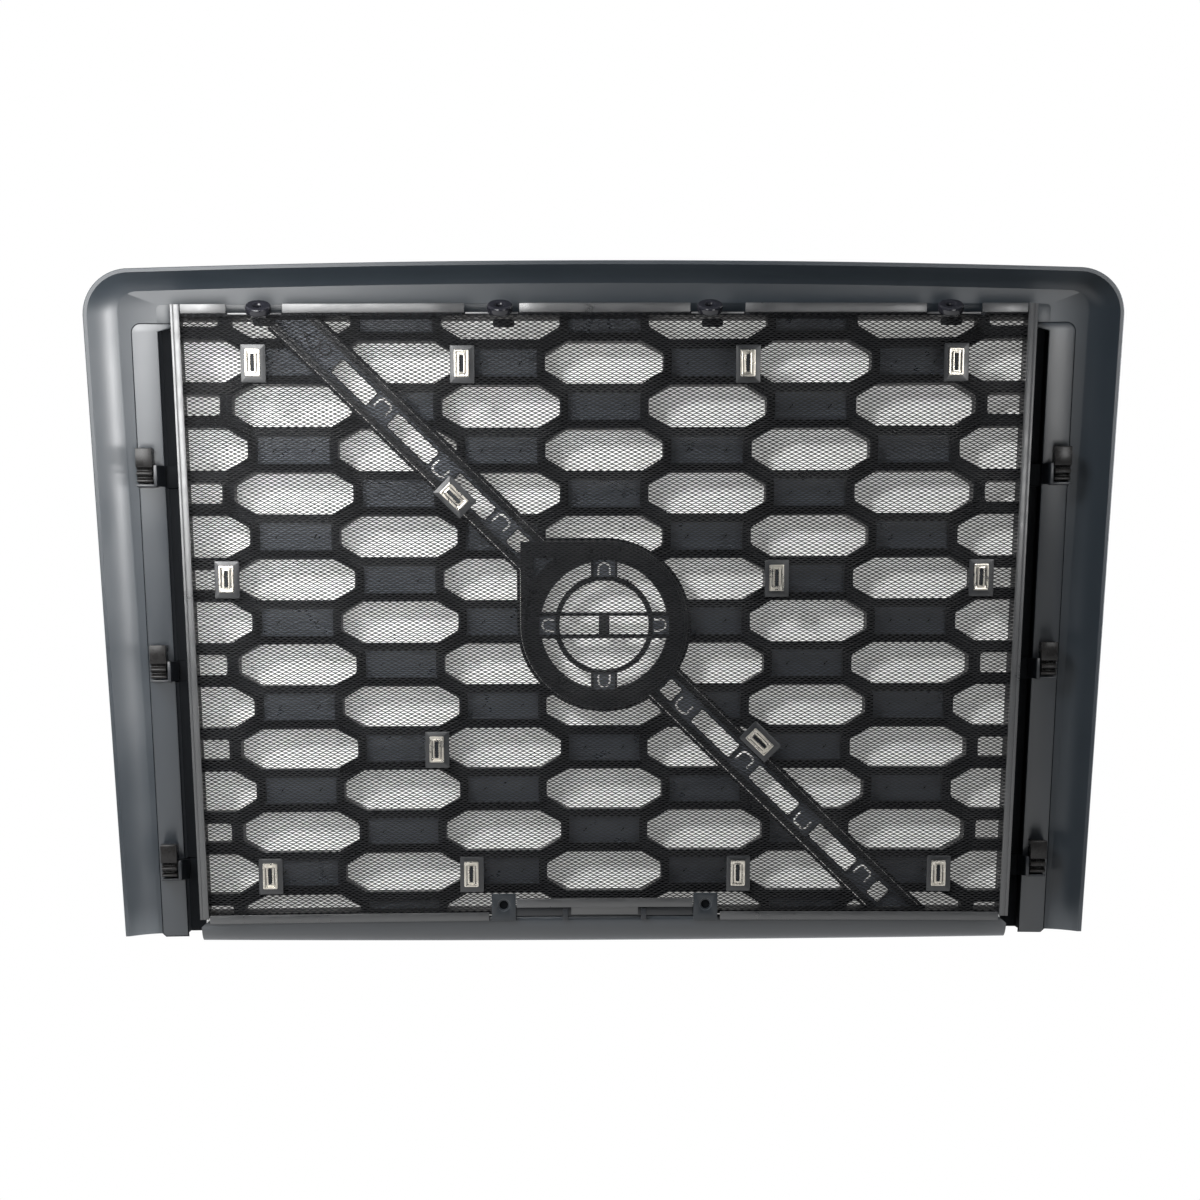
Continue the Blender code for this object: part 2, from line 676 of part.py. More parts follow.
# ---- bug screen ----
def make_screen(screen_look, strip_look):
    outline = tapered(SCREEN_HALF_WIDTH, SCREEN_TOP, SCREEN_FOOT)
    slots = [blade_plan(blade, SCREEN_SLOT_SIZE) for blade in BLADES]
    stations = [point.x for point in outline[1:INSERT_SPANS]]
    add_node("bug_screen", plate(outline, SCREEN_LEVELS, slots + lug_plans(LUG_NOTCH), stations), screen_look)
    for side, name in ((-1, "left"), (1, "right")):
        foot = RAIL_HALF_WIDTH - INSERT_TAPER * (SCREEN_TOP - SCREEN_FOOT)
        outer = [(RAIL_HALF_WIDTH, SCREEN_TOP + GAP), (foot, SCREEN_FOOT)]
        rail = [Vector((side * x, z)) for x, z in outer]
        rail += [Vector((side * (x - RAIL_WIDTH), z)) for x, z in reversed(outer)]
        add_node(f"screen_rail_{name}", plate(rail, EDGE_LEVELS), strip_look)
    for i, (low, high) in enumerate(TOP_STRIPS, 1):
        strip = crowned_strip(low, high, TOP_STRIP_HEIGHTS)
        add_node(f"screen_top_flange_{i}", plate(strip, EDGE_LEVELS), strip_look)
    for side, name in ((-1, "left"), (1, "right")):
        low, high = sorted(side * x for x in FOOT_STRIP_REACH)
        strip = rectangle((low, FOOT_STRIP_HEIGHTS[0]), (high, FOOT_STRIP_HEIGHTS[1]))
        flange = plate(strip, EDGE_LEVELS, stations=spaced(low, high))
        add_node(f"screen_bottom_flange_{name}", flange, strip_look)
    half, lip = MIDDLE_STRIP_HALF_WIDTH, MIDDLE_LIP_HALF_WIDTH
    rules = [
        (rectangle((-half, MIDDLE_STRIP_HEIGHTS[0]), (half, MIDDLE_STRIP_HEIGHTS[1])), EDGE_LEVELS),
        (rectangle((-lip, MIDDLE_LIP_FOOT), (lip, MIDDLE_STRIP_HEIGHTS[0])), MIDDLE_LIP_LEVELS),
    ]
    middle = terrace([outline for outline, _ in rules], ruled(rules), spaced(-half, half))
    add_node("screen_bottom_flange_middle", middle, strip_look)


def make_fasteners(pad_look, nut_look):
    for i, blade in enumerate(BLADES, 1):
        pad = plate(blade_plan(blade, PAD_SIZE), PAD_LEVELS, [blade_plan(blade, PAD_SLOT_SIZE)])
        add_node(f"retainer_pad_{i:02d}", pad, pad_look)
        bed = [length - 2 * NUT_RIM for length in NUT_SIZE]
        rules = [
            (blade_plan(blade, NUT_SLOT_SIZE), None),
            (blade_plan(blade, bed), NUT_BED_LEVELS),
            (blade_plan(blade, NUT_SIZE), NUT_RIM_LEVELS),
        ]
        nut = terrace([outline for outline, _ in rules], ruled(rules))
        add_node(f"push_nut_{i:02d}", nut, nut_look)


# ---- lower crossmember ----
def roll_shell():
    """The C-shaped roll under the insert, with its upper corners cut off."""
    rings = []
    for x in [-ROLL_HALF_WIDTH, *spaced(-ROLL_HALF_WIDTH, ROLL_HALF_WIDTH, 0.08), ROLL_HALF_WIDTH]:
        ring = []
        for depth, z in ROLL_SECTION:
            cut = max(0.0, ROLL_CHAMFER - (ROLL_TOP - z)) if abs(x) == ROLL_HALF_WIDTH else 0.0
            lift = ROLL_CROWN * (x / ROLL_HALF_WIDTH) ** 2 * (ROLL_TOP - z) / ROLL_HEIGHT
            ring.append((x - math.copysign(cut, x), depth, z + lift))
        rings.append(ring)
    return lofted(rings)


def make_crossmember(look):
    extras = []
    for side in (-1, 1):
        centre = side * TAB_CENTRE
        low, high = centre - TAB_HALF_WIDTH, centre + TAB_HALF_WIDTH
        rules = [
            (disc(TAB_HOLE_RADIUS, TAB_HOLE_STEPS, (centre, TAB_HOLE_HEIGHT)), None),
            (rectangle((low, TAB_HEIGHTS[0]), (high, TAB_ROOT_TOP)), TAB_ROOT_LEVELS),
            (rectangle((low, TAB_ROOT_TOP), (high, TAB_HEIGHTS[1])), TAB_LEVELS),
        ]
        extras.append(terrace([outline for outline, _ in rules], ruled(rules)))
        rib = side * FOOT_RIB_CENTRE
        rib_low = (rib - FOOT_RIB_HALF_WIDTH, TAB_ROOT_LEVELS[0], TAB_HEIGHTS[0])
        extras.append(block(rib_low, (rib + FOOT_RIB_HALF_WIDTH, TAB_ROOT_LEVELS[1], TAB_ROOT_TOP + GAP)))
        rib_high = (rib + FOOT_RIB_HALF_WIDTH, TAB_LEVELS[1], FOOT_RIB_TOP)
        extras.append(block((rib_low[0], TAB_LEVELS[0], TAB_ROOT_TOP), rib_high))
    add_node("lower_crossmember", joined(roll_shell(), extras), look)


# ---- side clips and fixing bosses ----
def make_clips(look):
    for side, name in ((-1, "left"), (1, "right")):
        for x, z, level in CLIP_CENTRES:
            section = [(depth, z + height) for depth, height in CLIP_SECTION]
            ends = (side * x - CLIP_WIDTH / 2, side * x + CLIP_WIDTH / 2)
            add_node(f"side_clip_{name}_{level}", extruded(section, *ends), look)


def boss_at(x):
    """A turned boss with a hole, tipped back from upright."""
    work = bmesh.new()
    rings = []
    tip = Matrix.Rotation(BOSS_TILT, 3, "X")
    base = Vector((x, BOSS_DEPTH, crowned(x, INSERT_TOP) - BOSS_SINK))
    for i in range(BOSS_STEPS):
        angle = 2 * math.pi * i / BOSS_STEPS
        ring = [Vector((r * math.cos(angle), r * math.sin(angle), h)) for r, h in BOSS_SECTION]
        rings.append([work.verts.new(base + tip @ point) for point in ring])
    for ring, following in zip(rings, rings[1:] + rings[:1]):
        for k in range(len(BOSS_SECTION)):
            work.faces.new((ring[k - 1], ring[k], following[k], following[k - 1]))
    return mesh_of(work)


def make_bosses(look):
    centres = sorted([side * x for x in BOSS_CENTRES for side in (-1, 1)])
    for i, x in enumerate(centres, 1):
        add_node(f"top_fixing_boss_{i}", boss_at(x), look)


def main():
    for thing in list(bpy.data.objects):
        bpy.data.objects.remove(thing)
    shell_black = material("shell_black", (0.018, 0.021, 0.025), 0.38)
    insert_black = material("insert_black", (0.010, 0.011, 0.013), 0.45)
    screen_black = material("screen_black", (0.030, 0.031, 0.033), 0.50, 0.4)
    strip_grey = material("strip_grey", (0.060, 0.062, 0.066), 0.48)
    pad_grey = material("pad_grey", (0.055, 0.057, 0.060), 0.55)
    nickel = material("nickel", (0.62, 0.58, 0.51), 0.30, 1.0)
    clip_black = material("clip_black", (0.020, 0.018, 0.017), 0.25, 0.6)
    boss_black = material("boss_black", (0.012, 0.012, 0.014), 0.18)
    make_surround(shell_black)
    make_insert(insert_black)
    make_carrier(insert_black)
    make_screen(screen_black, strip_grey)
    make_fasteners(pad_grey, nickel)
    make_crossmember(shell_black)
    make_clips(clip_black)
    make_bosses(boss_black)


main()
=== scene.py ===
"""A truck's front grille seen from behind: the detailed pieces, materials, studio and camera.

Every piece is drawn flat, in (x, depth, z) with the depth growing forwards, and then bent: the grille is
bowed in plan and leans back at the top.
"""

import math

import bmesh
import bpy
import numpy as np
from mathutils import Matrix, Quaternion, Vector
from mathutils.geometry import delaunay_2d_cdt


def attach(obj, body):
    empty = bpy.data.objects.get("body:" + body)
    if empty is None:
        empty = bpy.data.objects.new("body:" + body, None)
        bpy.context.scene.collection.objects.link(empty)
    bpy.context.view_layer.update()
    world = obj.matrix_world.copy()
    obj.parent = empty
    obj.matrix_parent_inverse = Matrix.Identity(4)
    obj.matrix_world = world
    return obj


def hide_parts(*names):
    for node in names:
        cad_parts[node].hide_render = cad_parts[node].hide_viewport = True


# ---- the overall shape, as in the CAD model ----
LEAN = math.radians(12.0)
BOW_RADIUS = 3.8
SIDES = ((-1, "left"), (1, "right"))

# ---- mesh building ----
LEVEL_STEP = 1e-7
WELD = 1e-6
FLAT_ANGLE = math.radians(0.6)
SHARP_ANGLE = math.radians(35)
MOST_ROUNDED = 0.45

# ---- surround ----
HALF_WIDTH = 0.525
TOP = 0.36
CROWN = 0.011
CORNER_RADIUS = 0.047
SIDE_TAPER = 0.032
LIP = 0.004
COVE_WIDTH = 0.028
COVE_HEIGHT = 0.016
COVE_RADIUS_DROP = 0.024
COVE_SWELL = 0.18
COVE_STEPS = 14
LEG_STEPS = 16
CORNER_STEPS = 16
TOP_STEPS = 28
WALL = 0.0028
LIP_DEPTH = -0.0337
LIP_HEIGHT = 0.009
LAND_DEPTH = -0.01
SHELF_DEPTH = 0.0138
LEG_FOOT = -0.326
LAND_HALF_WIDTH = 0.4548
LAND_TOP = 0.3262
LAND_TAPER = 0.0185
LAND_CROWN = 0.004
LAND_RADIUS = 0.004
SHELF_HALF_WIDTH = 0.4385
SHELF_TOP = 0.319
STRIP_HALF_WIDTH = 0.4808
STRIP_TOP = 0.3076
STRIP_FOOT = -0.3288
STRIP_RISE = 0.0012
STRIP_SINK = 0.0015
STRIP_CORNER = 0.009
STRIP_CORNER_STEPS = 8
STRIP_CHAMFER = 0.003
STRIP_GAP = 0.0003
ARM_REACH = 0.0025
ARM_HEIGHT = 0.004
# Painted shade: the edges and rise of a thin black sheet round each clip strip, drawn as the dark line of a
# groove.
GROOVE_SHADE_EDGES = (0.0009, -0.0006)
GROOVE_SHADE_RISE = 0.00012
CHANNEL_TOP = 0.3
LEDGE_HEIGHTS = (0.3176, 0.3284)
EDGE_ROUND = 0.0007

# ---- honeycomb insert ----
INSERT_HALF_WIDTH = 0.4365
INSERT_TOP = 0.3165
INSERT_CROWN = 0.0035
INSERT_FOOT = -0.3075
INSERT_TAPER = 0.019
INSERT_SPANS = 13
INSERT_WALL = 0.004
FLANGE_WIDTH = 0.004
FLANGE_LEVELS = (0.0095, 0.0135, 0)
WALL_LEVELS = (-0.036, 0.016, 0)
WEB_LEVELS = (0.001, 0.016, 1)
RIM_LEVELS = (-0.011, 0.016, 0)
CELL_WALL_LEVELS = (-0.014, 0.016, 0)
CELL_WALL = 0.0024
RIM_WIDTH = 0.0088
CELL_PITCH = 0.214
ROW_PITCH = 0.0445
ROW_ZERO = 0.004
MOST_ROW = 7
CELL_HALF_LENGTH = 0.061
CELL_HALF_FLAT = 0.039
CELL_HALF_HEIGHT = 0.0215
CELL_HALF_SIDE = 0.0085
CELL_ROUND = 0.004
RIM_ROUND = 0.006
POCKET_SIZE = (0.078, 0.026)
POCKET_LINE = 0.0011
POCKET_LEVELS = (-0.0025, 0.016, 2)
TICK_REACH = 0.02
TICK_LENGTH = 0.0052
TICK_LEVELS = (-0.0012, 0.016, 0)
SIDE_WINDOW_CENTRE = 0.422
SIDE_WINDOW_SIZE = (0.056, 0.021)

# ---- badge carrier ----
BAND_ANGLE = math.radians(-44.3)
BAND_HALF_WIDTH = 0.019
BAND_LENGTH = 0.47
RING_RADIUS = 0.0875
RING_BORE = 0.067
INNER_RING_RADIUS = 0.0525
INNER_RING_BORE = 0.047
CARRIER_LEVELS = (-0.014, 0.0, 0)
RIB_LEVELS = (-0.018, 0.0, 0)
FLOOR_LEVELS = (-0.006, 0.0, 1)
TONGUE_LEVELS = (-0.009, -0.002, 1)
FACE_LEVELS = (-0.011, 0.0, 0)
SILL_LEVELS = (-0.01, 0.0, 0)
WINDOW_RIM_LEVELS = (-0.0085, 0.0, 0)
SLOT_CLEARANCE = 0.0008
SLOT_RIM = 0.003
SLOT_RIM_LEVELS = (-0.016, 0.016, 0)
RIB_WIDTH = 0.0065
RIB_HALF_THICKNESS = 0.0014
WINDOW_HALF_WIDTH = 0.009
WINDOW_ROUND = 0.0022
WINDOW_RIM = 0.001
UPPER_WINDOWS = ((0.117, 0.135), (0.166, 0.218), (0.248, 0.306), (0.335, 0.384))
LOWER_WINDOWS = ((0.0905, 0.107), (0.137, 0.193), (0.223, 0.283), (0.313, 0.37), (0.401, 0.418))
UPPER_SOCKETS = ((0.152, 1), (0.2355, -1), (0.3215, 1))
LOWER_SOCKETS = ((0.1205, -1), (0.2075, 1), (0.298, -1), (0.3845, 1))
SNAP_HALF_WIDTH = 0.009
SNAP_CUT = 0.0024
SNAP_SPAN = (-0.0035, 0.01)
SNAP_CORNER = 0.0035
BAR_HEIGHT = 0.0115
BAR_HALF_THICKNESS = 0.002
STUB_HALF_WIDTH = 0.0055
SOCKET_RADIUS = 0.06
SOCKET_WIDTH = 0.027
SOCKET_SLOT = (0.0135, 0.014, 0.002)
SOCKET_WALL_REACH = 0.0125
SOCKET_WALL_HALF = 0.0013
SEAT_LOW = (-0.0735, 0.02)
SEAT_HIGH = (-0.02, 0.07)
SEAT_LEVELS = (-0.004, 0.0, 1)
EYE_REACH = -0.403
EYE_RADIUS = 0.0052
EYE_RIM = 0.0064
WEDGE = ((-0.428, 0.0), (-0.412, -0.007), (-0.412, 0.007))
WEDGE_RIM = 0.0012
RING_STEPS = 72

# ---- bug screen ----
SCREEN_HALF_WIDTH = 0.435
SCREEN_TOP = 0.3155
SCREEN_FOOT = -0.3065
STRAND_SPACING = 0.001975
STRAND_REACH = 0.00395
STRAND_WIDTH = 0.00108
STRAND_SWING = 0.00058
STRAND_REAR = -0.0396
STRAND_FRONT = -0.0386
STRAND_SECTION = ((-0.5, STRAND_FRONT), (0.12, STRAND_REAR), (0.5, STRAND_FRONT))
SCREEN_PARTS = 3
EDGE_LEVELS = (-0.0445, -0.0402, 0)
RAIL_WIDTH = 0.009
RAIL_HALF_WIDTH = 0.4375
RAIL_GROOVE = (0.3, 0.38)
GROOVE_DEPTH = 0.0006
STRIP_STEP = 0.03
TOP_STRIPS = (
    (-0.4275, -0.382), (-0.326, -0.143), (-0.087, 0.087), (0.143, 0.326), (0.382, 0.4275),
)
TOP_STRIP_HEIGHTS = (0.3148, 0.324)
FOOT_STRIP_REACH = (0.1225, 0.4158)
FOOT_STRIP_HEIGHTS = (-0.3135, -0.3045)
MIDDLE_STRIP_HALF_WIDTH = 0.0935
MIDDLE_STRIP_HEIGHTS = (-0.2995, -0.29)
MIDDLE_LIP_HALF_WIDTH = 0.0355
MIDDLE_LIP_FOOT = -0.3075
MIDDLE_LIP_LEVELS = (-0.0425, -0.0402, 0)
FOLD_HEIGHTS = (0.3135, 0.3155)
FOLD_LEVELS = (-0.041, -0.0385, 0)

# ---- lower crossmember ----
ROLL_TOP = -0.3085
ROLL_HALF_WIDTH = 0.425
ROLL_CHAMFER = 0.01
ROLL_CROWN = 0.005
ROLL_HEIGHT = 0.0295
ROLL_FRONT = 0.0117
ROLL_FOOT = -0.3379
ROLL_SPANS = 26
ROLL_SECTION = (
    (-0.035, -0.3085), (-0.0372, -0.3089), (-0.0388, -0.31), (-0.0396, -0.3117), (-0.0398, -0.314),
    (-0.0398, -0.319), (-0.0389, -0.3226), (-0.0375, -0.3255), (-0.035, -0.3292), (-0.032, -0.3325),
    (-0.0284, -0.3352), (-0.0245, -0.337), (-0.0205, -0.3377),
    (-0.016, -0.338), (0.006, -0.338), (0.0089, -0.3376), (0.0105, -0.3365), (0.0112, -0.3348),
    (0.012, -0.3325), (0.012, -0.318), (0.0092, -0.318), (0.0092, -0.3318), (0.0078, -0.3345),
    (0.0055, -0.3352), (-0.0155, -0.3352), (-0.0232, -0.3344), (-0.03, -0.3306), (-0.035, -0.3243),
    (-0.037, -0.3184), (-0.037, -0.3085),
)
TAB_CENTRE = 0.107
TAB_HALF_WIDTH = 0.0128
TAB_HEIGHTS = (-0.3135, -0.2845)
TAB_LEVELS = (-0.0436, -0.0402, 0)
TAB_HOLE_HEIGHT = -0.2965
TAB_HOLE_RADIUS = 0.0047
TAB_HOLE_STEPS = 28
TAB_SEAT_RIM = 0.0018
TAB_SEAT_SINK = 0.0007
# Painted shade: a thin black disc behind each screw-tab hole, so that the hole reads dark.
TAB_SHADE_RIM = 0.0012
TAB_SHADE_LEVELS = (-0.0404, -0.039, 0)
FOOT_RIB_CENTRE = 0.0415
FOOT_RIB_HALF_WIDTH = 0.0028
FOOT_RIB_TOP = -0.301
FOOT_LEDGE_HEIGHTS = (-0.309, -0.299)
FOOT_LEDGE_LEVELS = (-0.0399, -0.037, 0)

# ---- screen fasteners: x, z and turn of each blade ----
BAND_TURN = math.pi / 2 + BAND_ANGLE
BLADES = (
    (-0.357, 0.267, 0.0), (-0.146, 0.267, 0.0), (0.146, 0.267, 0.0), (0.357, 0.267, 0.0),
    (-0.155, 0.1325, BAND_TURN), (-0.389, 0.0485, 0.0), (0.178, 0.0485, 0.0), (0.388, 0.0485, 0.0),
    (-0.176, -0.1295, 0.0), (0.1625, -0.123, BAND_TURN),
    (-0.352, -0.263, 0.0), (-0.141, -0.263, 0.0), (0.141, -0.263, 0.0), (0.352, -0.263, 0.0),
)
CARRIER_BLADE = BLADES[4]
BLADE_SIZE = (0.002, 0.016)
BLADE_SLOT_SIZE = (0.0034, 0.018)
PEDESTAL_SIZE = (0.0076, 0.02)
PEDESTAL_LEVELS = (-0.02, 0.01, 0)
BLADE_LEVELS = (-0.047, 0.01, 0)
PAD_SIZE = (0.025, 0.038)
PAD_SHIFT = (0.0006, -0.0005)
PAD_LEVELS = (-0.0416, -0.04, 0)
NUT_TERRACES = (
    ((0.0066, 0.0206), 0.0008, (-0.0446, -0.0424, 0)),
    ((0.011, 0.023), 0.0008, (-0.0436, -0.0418, 0)),
    ((0.015, 0.027), 0.0012, (-0.0452, -0.0418, 0)),
)
NUT_GROOVE_REACH = 0.0046
NUT_GROOVE_SIZE = (0.0008, 0.0186)
NUT_COMB = (0.0176, 0.0044, 7, 0.0008)

# ---- side clips and top bosses ----
CLIP_CENTRES = ((0.47, 0.1625, "upper"), (0.4625, -0.0385, "middle"), (0.458, -0.2485, "lower"))
CLIP_WIDTH = 0.0165
CLIP_STEEL = 0.0011
CLIP_PATH_STEPS = 5
CLIP_CAP = (
    (-0.0117, 0.0195), (-0.0306, 0.0195), (-0.0315, 0.0191), (-0.0318, 0.0182), (-0.0318, 0.0016),
    (-0.0314, 0.0004), (-0.0302, 0.0), (-0.0117, 0.0),
)
CLIP_TONGUE = (
    (-0.0302, 0.0006), (-0.0268, -0.0006), (-0.0256, -0.0022), (-0.0262, -0.0036), (-0.029, -0.0042),
    (-0.0305, -0.0056), (-0.03, -0.0072), (-0.027, -0.008), (-0.024, -0.0086), (-0.0232, -0.01),
    (-0.0242, -0.0114), (-0.027, -0.0121), (-0.0281, -0.0133), (-0.027, -0.0143), (-0.019, -0.0148),
    (-0.0117, -0.015),
)
CHEEK_REAR = -0.029
CHEEK_GAP = 0.0009
CHEEK_THICKNESS = 0.0034
CHEEK_HEIGHTS = (-0.0185, 0.0025)
BRACKET_FOOT = -0.0195
BRACKET_FLOOR = 0.0025
BRIDGE_TOP = 0.003
BRIDGE_REARS = (-0.005, -0.012)
BOSS_CENTRES = (0.1065, 0.349)
BOSS_PLACES = (-0.349, -0.1065, 0.1065, 0.349)
BOSS_TILT = math.radians(30)
BOSS_DEPTH = -0.0498
BOSS_SINK = 0.0016
BOSS_STEPS = 56
LUG_SIZE = (0.014, 0.0036)
LUG_SINK = 0.0022
LUG_LEVELS = (-0.044, 0.016, 0)
LUG_EYE_SIZE = (0.022, 0.0078)
LUG_EYE_HEIGHT = 0.3082
LUG_EYE_SHIFT = 0.0035
LUG_EYE_ROUND = 0.0038
LUG_EYE_LEVELS = (-0.035, -0.031, 0)
BOSS_TAB_DROP = 0.0034
BOSS_TAB = ((-0.0072, -0.0026), (0.0068, 0.0022))
BOSS_TAB_LEVELS = (-0.0456, -0.0441, 0)
BOSS_SECTION = (
    (0.0038, 0.0), (0.0115, 0.0), (0.0127, 0.0006), (0.013, 0.0018), (0.013, 0.0056), (0.0127, 0.007),
    (0.0118, 0.0079), (0.0108, 0.008), (0.0066, 0.008), (0.0056, 0.0077), (0.0048, 0.0066),
    (0.0041, 0.0058), (0.0038, 0.0046),
)

# ---- studio and camera ----
CARD_DEPTH = 0.0215
# Painted light: the backdrop card glows, brighter at the upper left than at the lower right.
CARD_GLOW = (0.4, 0.31)
CARD_HALF_WIDTH = 0.452
CARD_FOOT = -0.318
CARD_HEIGHT = 0.653
CARD_COLUMNS = 10
CARD_ROWS = 8
FLOOR_SIDE = 1.6
FLOOR_DEPTHS = (-1.0, 0.34)
FLOOR_HEIGHT = -0.75
GLOW_REACH = 0.75
WEAR_RANGE = (0.54, 0.68)
CAMERA_AIM = (0.0, 0.0, 0.0042)
CAMERA_DISTANCE = 3.0
CAMERA_YAW = math.radians(1.0)
CAMERA_ROLL = math.radians(-0.2)

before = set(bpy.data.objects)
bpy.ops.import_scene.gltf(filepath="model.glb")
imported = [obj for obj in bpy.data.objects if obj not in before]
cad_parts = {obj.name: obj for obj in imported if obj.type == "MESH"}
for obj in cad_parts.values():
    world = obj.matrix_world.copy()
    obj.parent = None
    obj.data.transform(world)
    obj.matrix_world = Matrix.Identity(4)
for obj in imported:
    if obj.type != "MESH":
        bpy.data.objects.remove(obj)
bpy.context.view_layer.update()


# ---- bending and mesh building ----
def bent(x, depth, z):
    """A flat drawing's point, bowed in plan and leaned back."""
    return Vector((x, depth - z * math.tan(LEAN) - x * x / (2 * BOW_RADIUS), z))


def add_piece(name, work, looks, nodes=(), bevel=0.0, steps=2, spacing=0.045,
              flat=True, angle=30):
    """One piece from a flat bmesh: edges softened, cut so that it can follow the bow, bent and smoothed."""
    bmesh.ops.remove_doubles(work, verts=work.verts, dist=WELD)
    bmesh.ops.recalc_face_normals(work, faces=work.faces)
    if bevel:
        bmesh.ops.dissolve_limit(
            work, angle_limit=FLAT_ANGLE, use_dissolve_boundaries=False, verts=work.verts,
            edges=work.edges, delimit={"MATERIAL"},
        )
        sharp = [edge for edge in work.edges if edge.calc_face_angle(0.0) > SHARP_ANGLE]
        bmesh.ops.bevel(
            work, geom=sharp, offset=bevel, offset_type="OFFSET", segments=steps, profile=0.5,
            affect="EDGES", clamp_overlap=True, material=-1,
        )
    if flat:
        xs = [vertex.co.x for vertex in work.verts]
        count = int((max(xs) - min(xs)) / spacing)
        for i in range(1, count):
            everything = list(work.verts) + list(work.edges) + list(work.faces)
            cut = min(xs) + (max(xs) - min(xs)) * i / count
            bmesh.ops.bisect_plane(work, geom=everything, dist=WELD, plane_co=(cut, 0, 0), plane_no=(1, 0, 0))
    bmesh.ops.triangulate(work, faces=[face for face in work.faces if len(face.verts) > 4])
    for vertex in work.verts:
        vertex.co = bent(*vertex.co)
    mesh = bpy.data.meshes.new(name)
    work.to_mesh(mesh)
    work.free()
    mesh.shade_smooth()
    mesh.set_sharp_from_angle(angle=math.radians(angle))
    return place(name, mesh, looks, nodes)


def place(name, mesh, looks, nodes=()):
    piece = bpy.data.objects.new(name, mesh)
    bpy.context.scene.collection.objects.link(piece)
    for look in looks:
        mesh.materials.append(look)
    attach(piece, "root")
    if nodes:
        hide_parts(*nodes)
    return piece


def rectangle(low, high, turn=0.0):
    middle = (Vector(low) + Vector(high)) / 2
    corners = [Vector((low[0], low[1])), Vector((high[0], low[1])), Vector(high), Vector((low[0], high[1]))]
    spin = Matrix.Rotation(turn, 2)
    return [middle + spin @ (corner - middle) for corner in corners]


def box_at(centre, size, turn=0.0):
    half = Vector(size) / 2
    return rectangle(Vector(centre) - half, Vector(centre) + half, turn)


def mirrored(outline, side):
    """An anticlockwise outline of the right half, or its anticlockwise mirror image in the left half."""
    flat = [Vector((side * x, z)) for x, z in outline]
    return flat if side > 0 else flat[::-1]


def disc(radius, steps=RING_STEPS, centre=(0.0, 0.0)):
    turns = [2 * math.pi * (i + 0.5) / steps for i in range(steps)]
    return [Vector((centre[0] + radius * math.cos(a), centre[1] + radius * math.sin(a))) for a in turns]


def crowned(x, top):
    return top + INSERT_CROWN * (1 - (x / INSERT_HALF_WIDTH) ** 2)


def tapered(half_width, top, foot):
    foot_half = half_width - INSERT_TAPER * (top - foot)
    across = [2 * i / INSERT_SPANS - 1 for i in range(INSERT_SPANS + 1)]
    lower = [Vector((foot_half * t, foot)) for t in across]
    upper = [Vector((half_width * t, crowned(half_width * t, top))) for t in reversed(across)]
    return lower + upper


def grown(outline, by):
    count = len(outline)
    moved = []
    for i in range(count):
        before = (outline[i] - outline[i - 1]).normalized()
        after = (outline[(i + 1) % count] - outline[i]).normalized()
        out_before = Vector((before.y, -before.x))
        out_after = Vector((after.y, -after.x))
        middle = (out_before + out_after).normalized()
        moved.append(outline[i] + middle * (by / middle.dot(out_before)))
    return moved


def rounded(outline, radius, steps=4):
    """A convex anticlockwise outline with its corners rounded."""
    made = []
    for i, corner in enumerate(outline):
        sides = (outline[i - 1] - corner, outline[(i + 1) % len(outline)] - corner)
        back, ahead = (side.normalized() for side in sides)
        reach = min(radius / math.tan(back.angle(ahead) / 2), *(side.length * MOST_ROUNDED for side in sides))
        start, end = corner + back * reach, corner + ahead * reach
        for k in range(steps + 1):
            t = k / steps
            made.append(start * (1 - t) ** 2 + corner * (2 * t * (1 - t)) + end * t ** 2)
    return made


def inside(outline, x, z):
    within = False
    for i, corner in enumerate(outline):
        last = outline[i - 1]
        if (corner.y > z) != (last.y > z):
            crossing = last.x + (z - last.y) / (corner.y - last.y) * (corner.x - last.x)
            within ^= x < crossing
    return within


def boxed(outline):
    xs = [p.x for p in outline]
    zs = [p.y for p in outline]
    return min(xs), max(xs), min(zs), max(zs)


def ruled(rules):
    """The levels at a point by the first rule, (outline, levels), that holds it, or None for a hole."""
    ready = [(outline, boxed(outline), levels) for outline, levels in rules]

    def levels_at(x, z):
        for outline, (x0, x1, z0, z1), levels in ready:
            if x0 <= x <= x1 and z0 <= z <= z1 and inside(outline, x, z):
                return levels
        return None
    return levels_at


def open_spans(own, other):
    if own is None:
        return []
    if other is None:
        return [own[:2]]
    spans = [(own[0], min(own[1], other[0])), (max(own[0], other[1]), own[1])]
    return [span for span in spans if span[1] - span[0] > LEVEL_STEP]


def terrace(outlines, levels_at):
    """A closed flat mesh over the plan that the outlines cut up. Levels are (rear, front, material)."""
    points, edges = [], []
    for outline in outlines:
        start = len(points)
        points += outline
        edges += [(start + i, start + (i + 1) % len(outline)) for i in range(len(outline))]
    spots, _, triangles, *_ = delaunay_2d_cdt(points, edges, [], 0, WELD)
    filled = {}
    for triangle in triangles:
        middle = sum((spots[i] for i in triangle), Vector((0.0, 0.0))) / 3
        levels = levels_at(middle.x, middle.y)
        if levels:
            filled[tuple(triangle)] = levels
    return skinned(spots, filled)


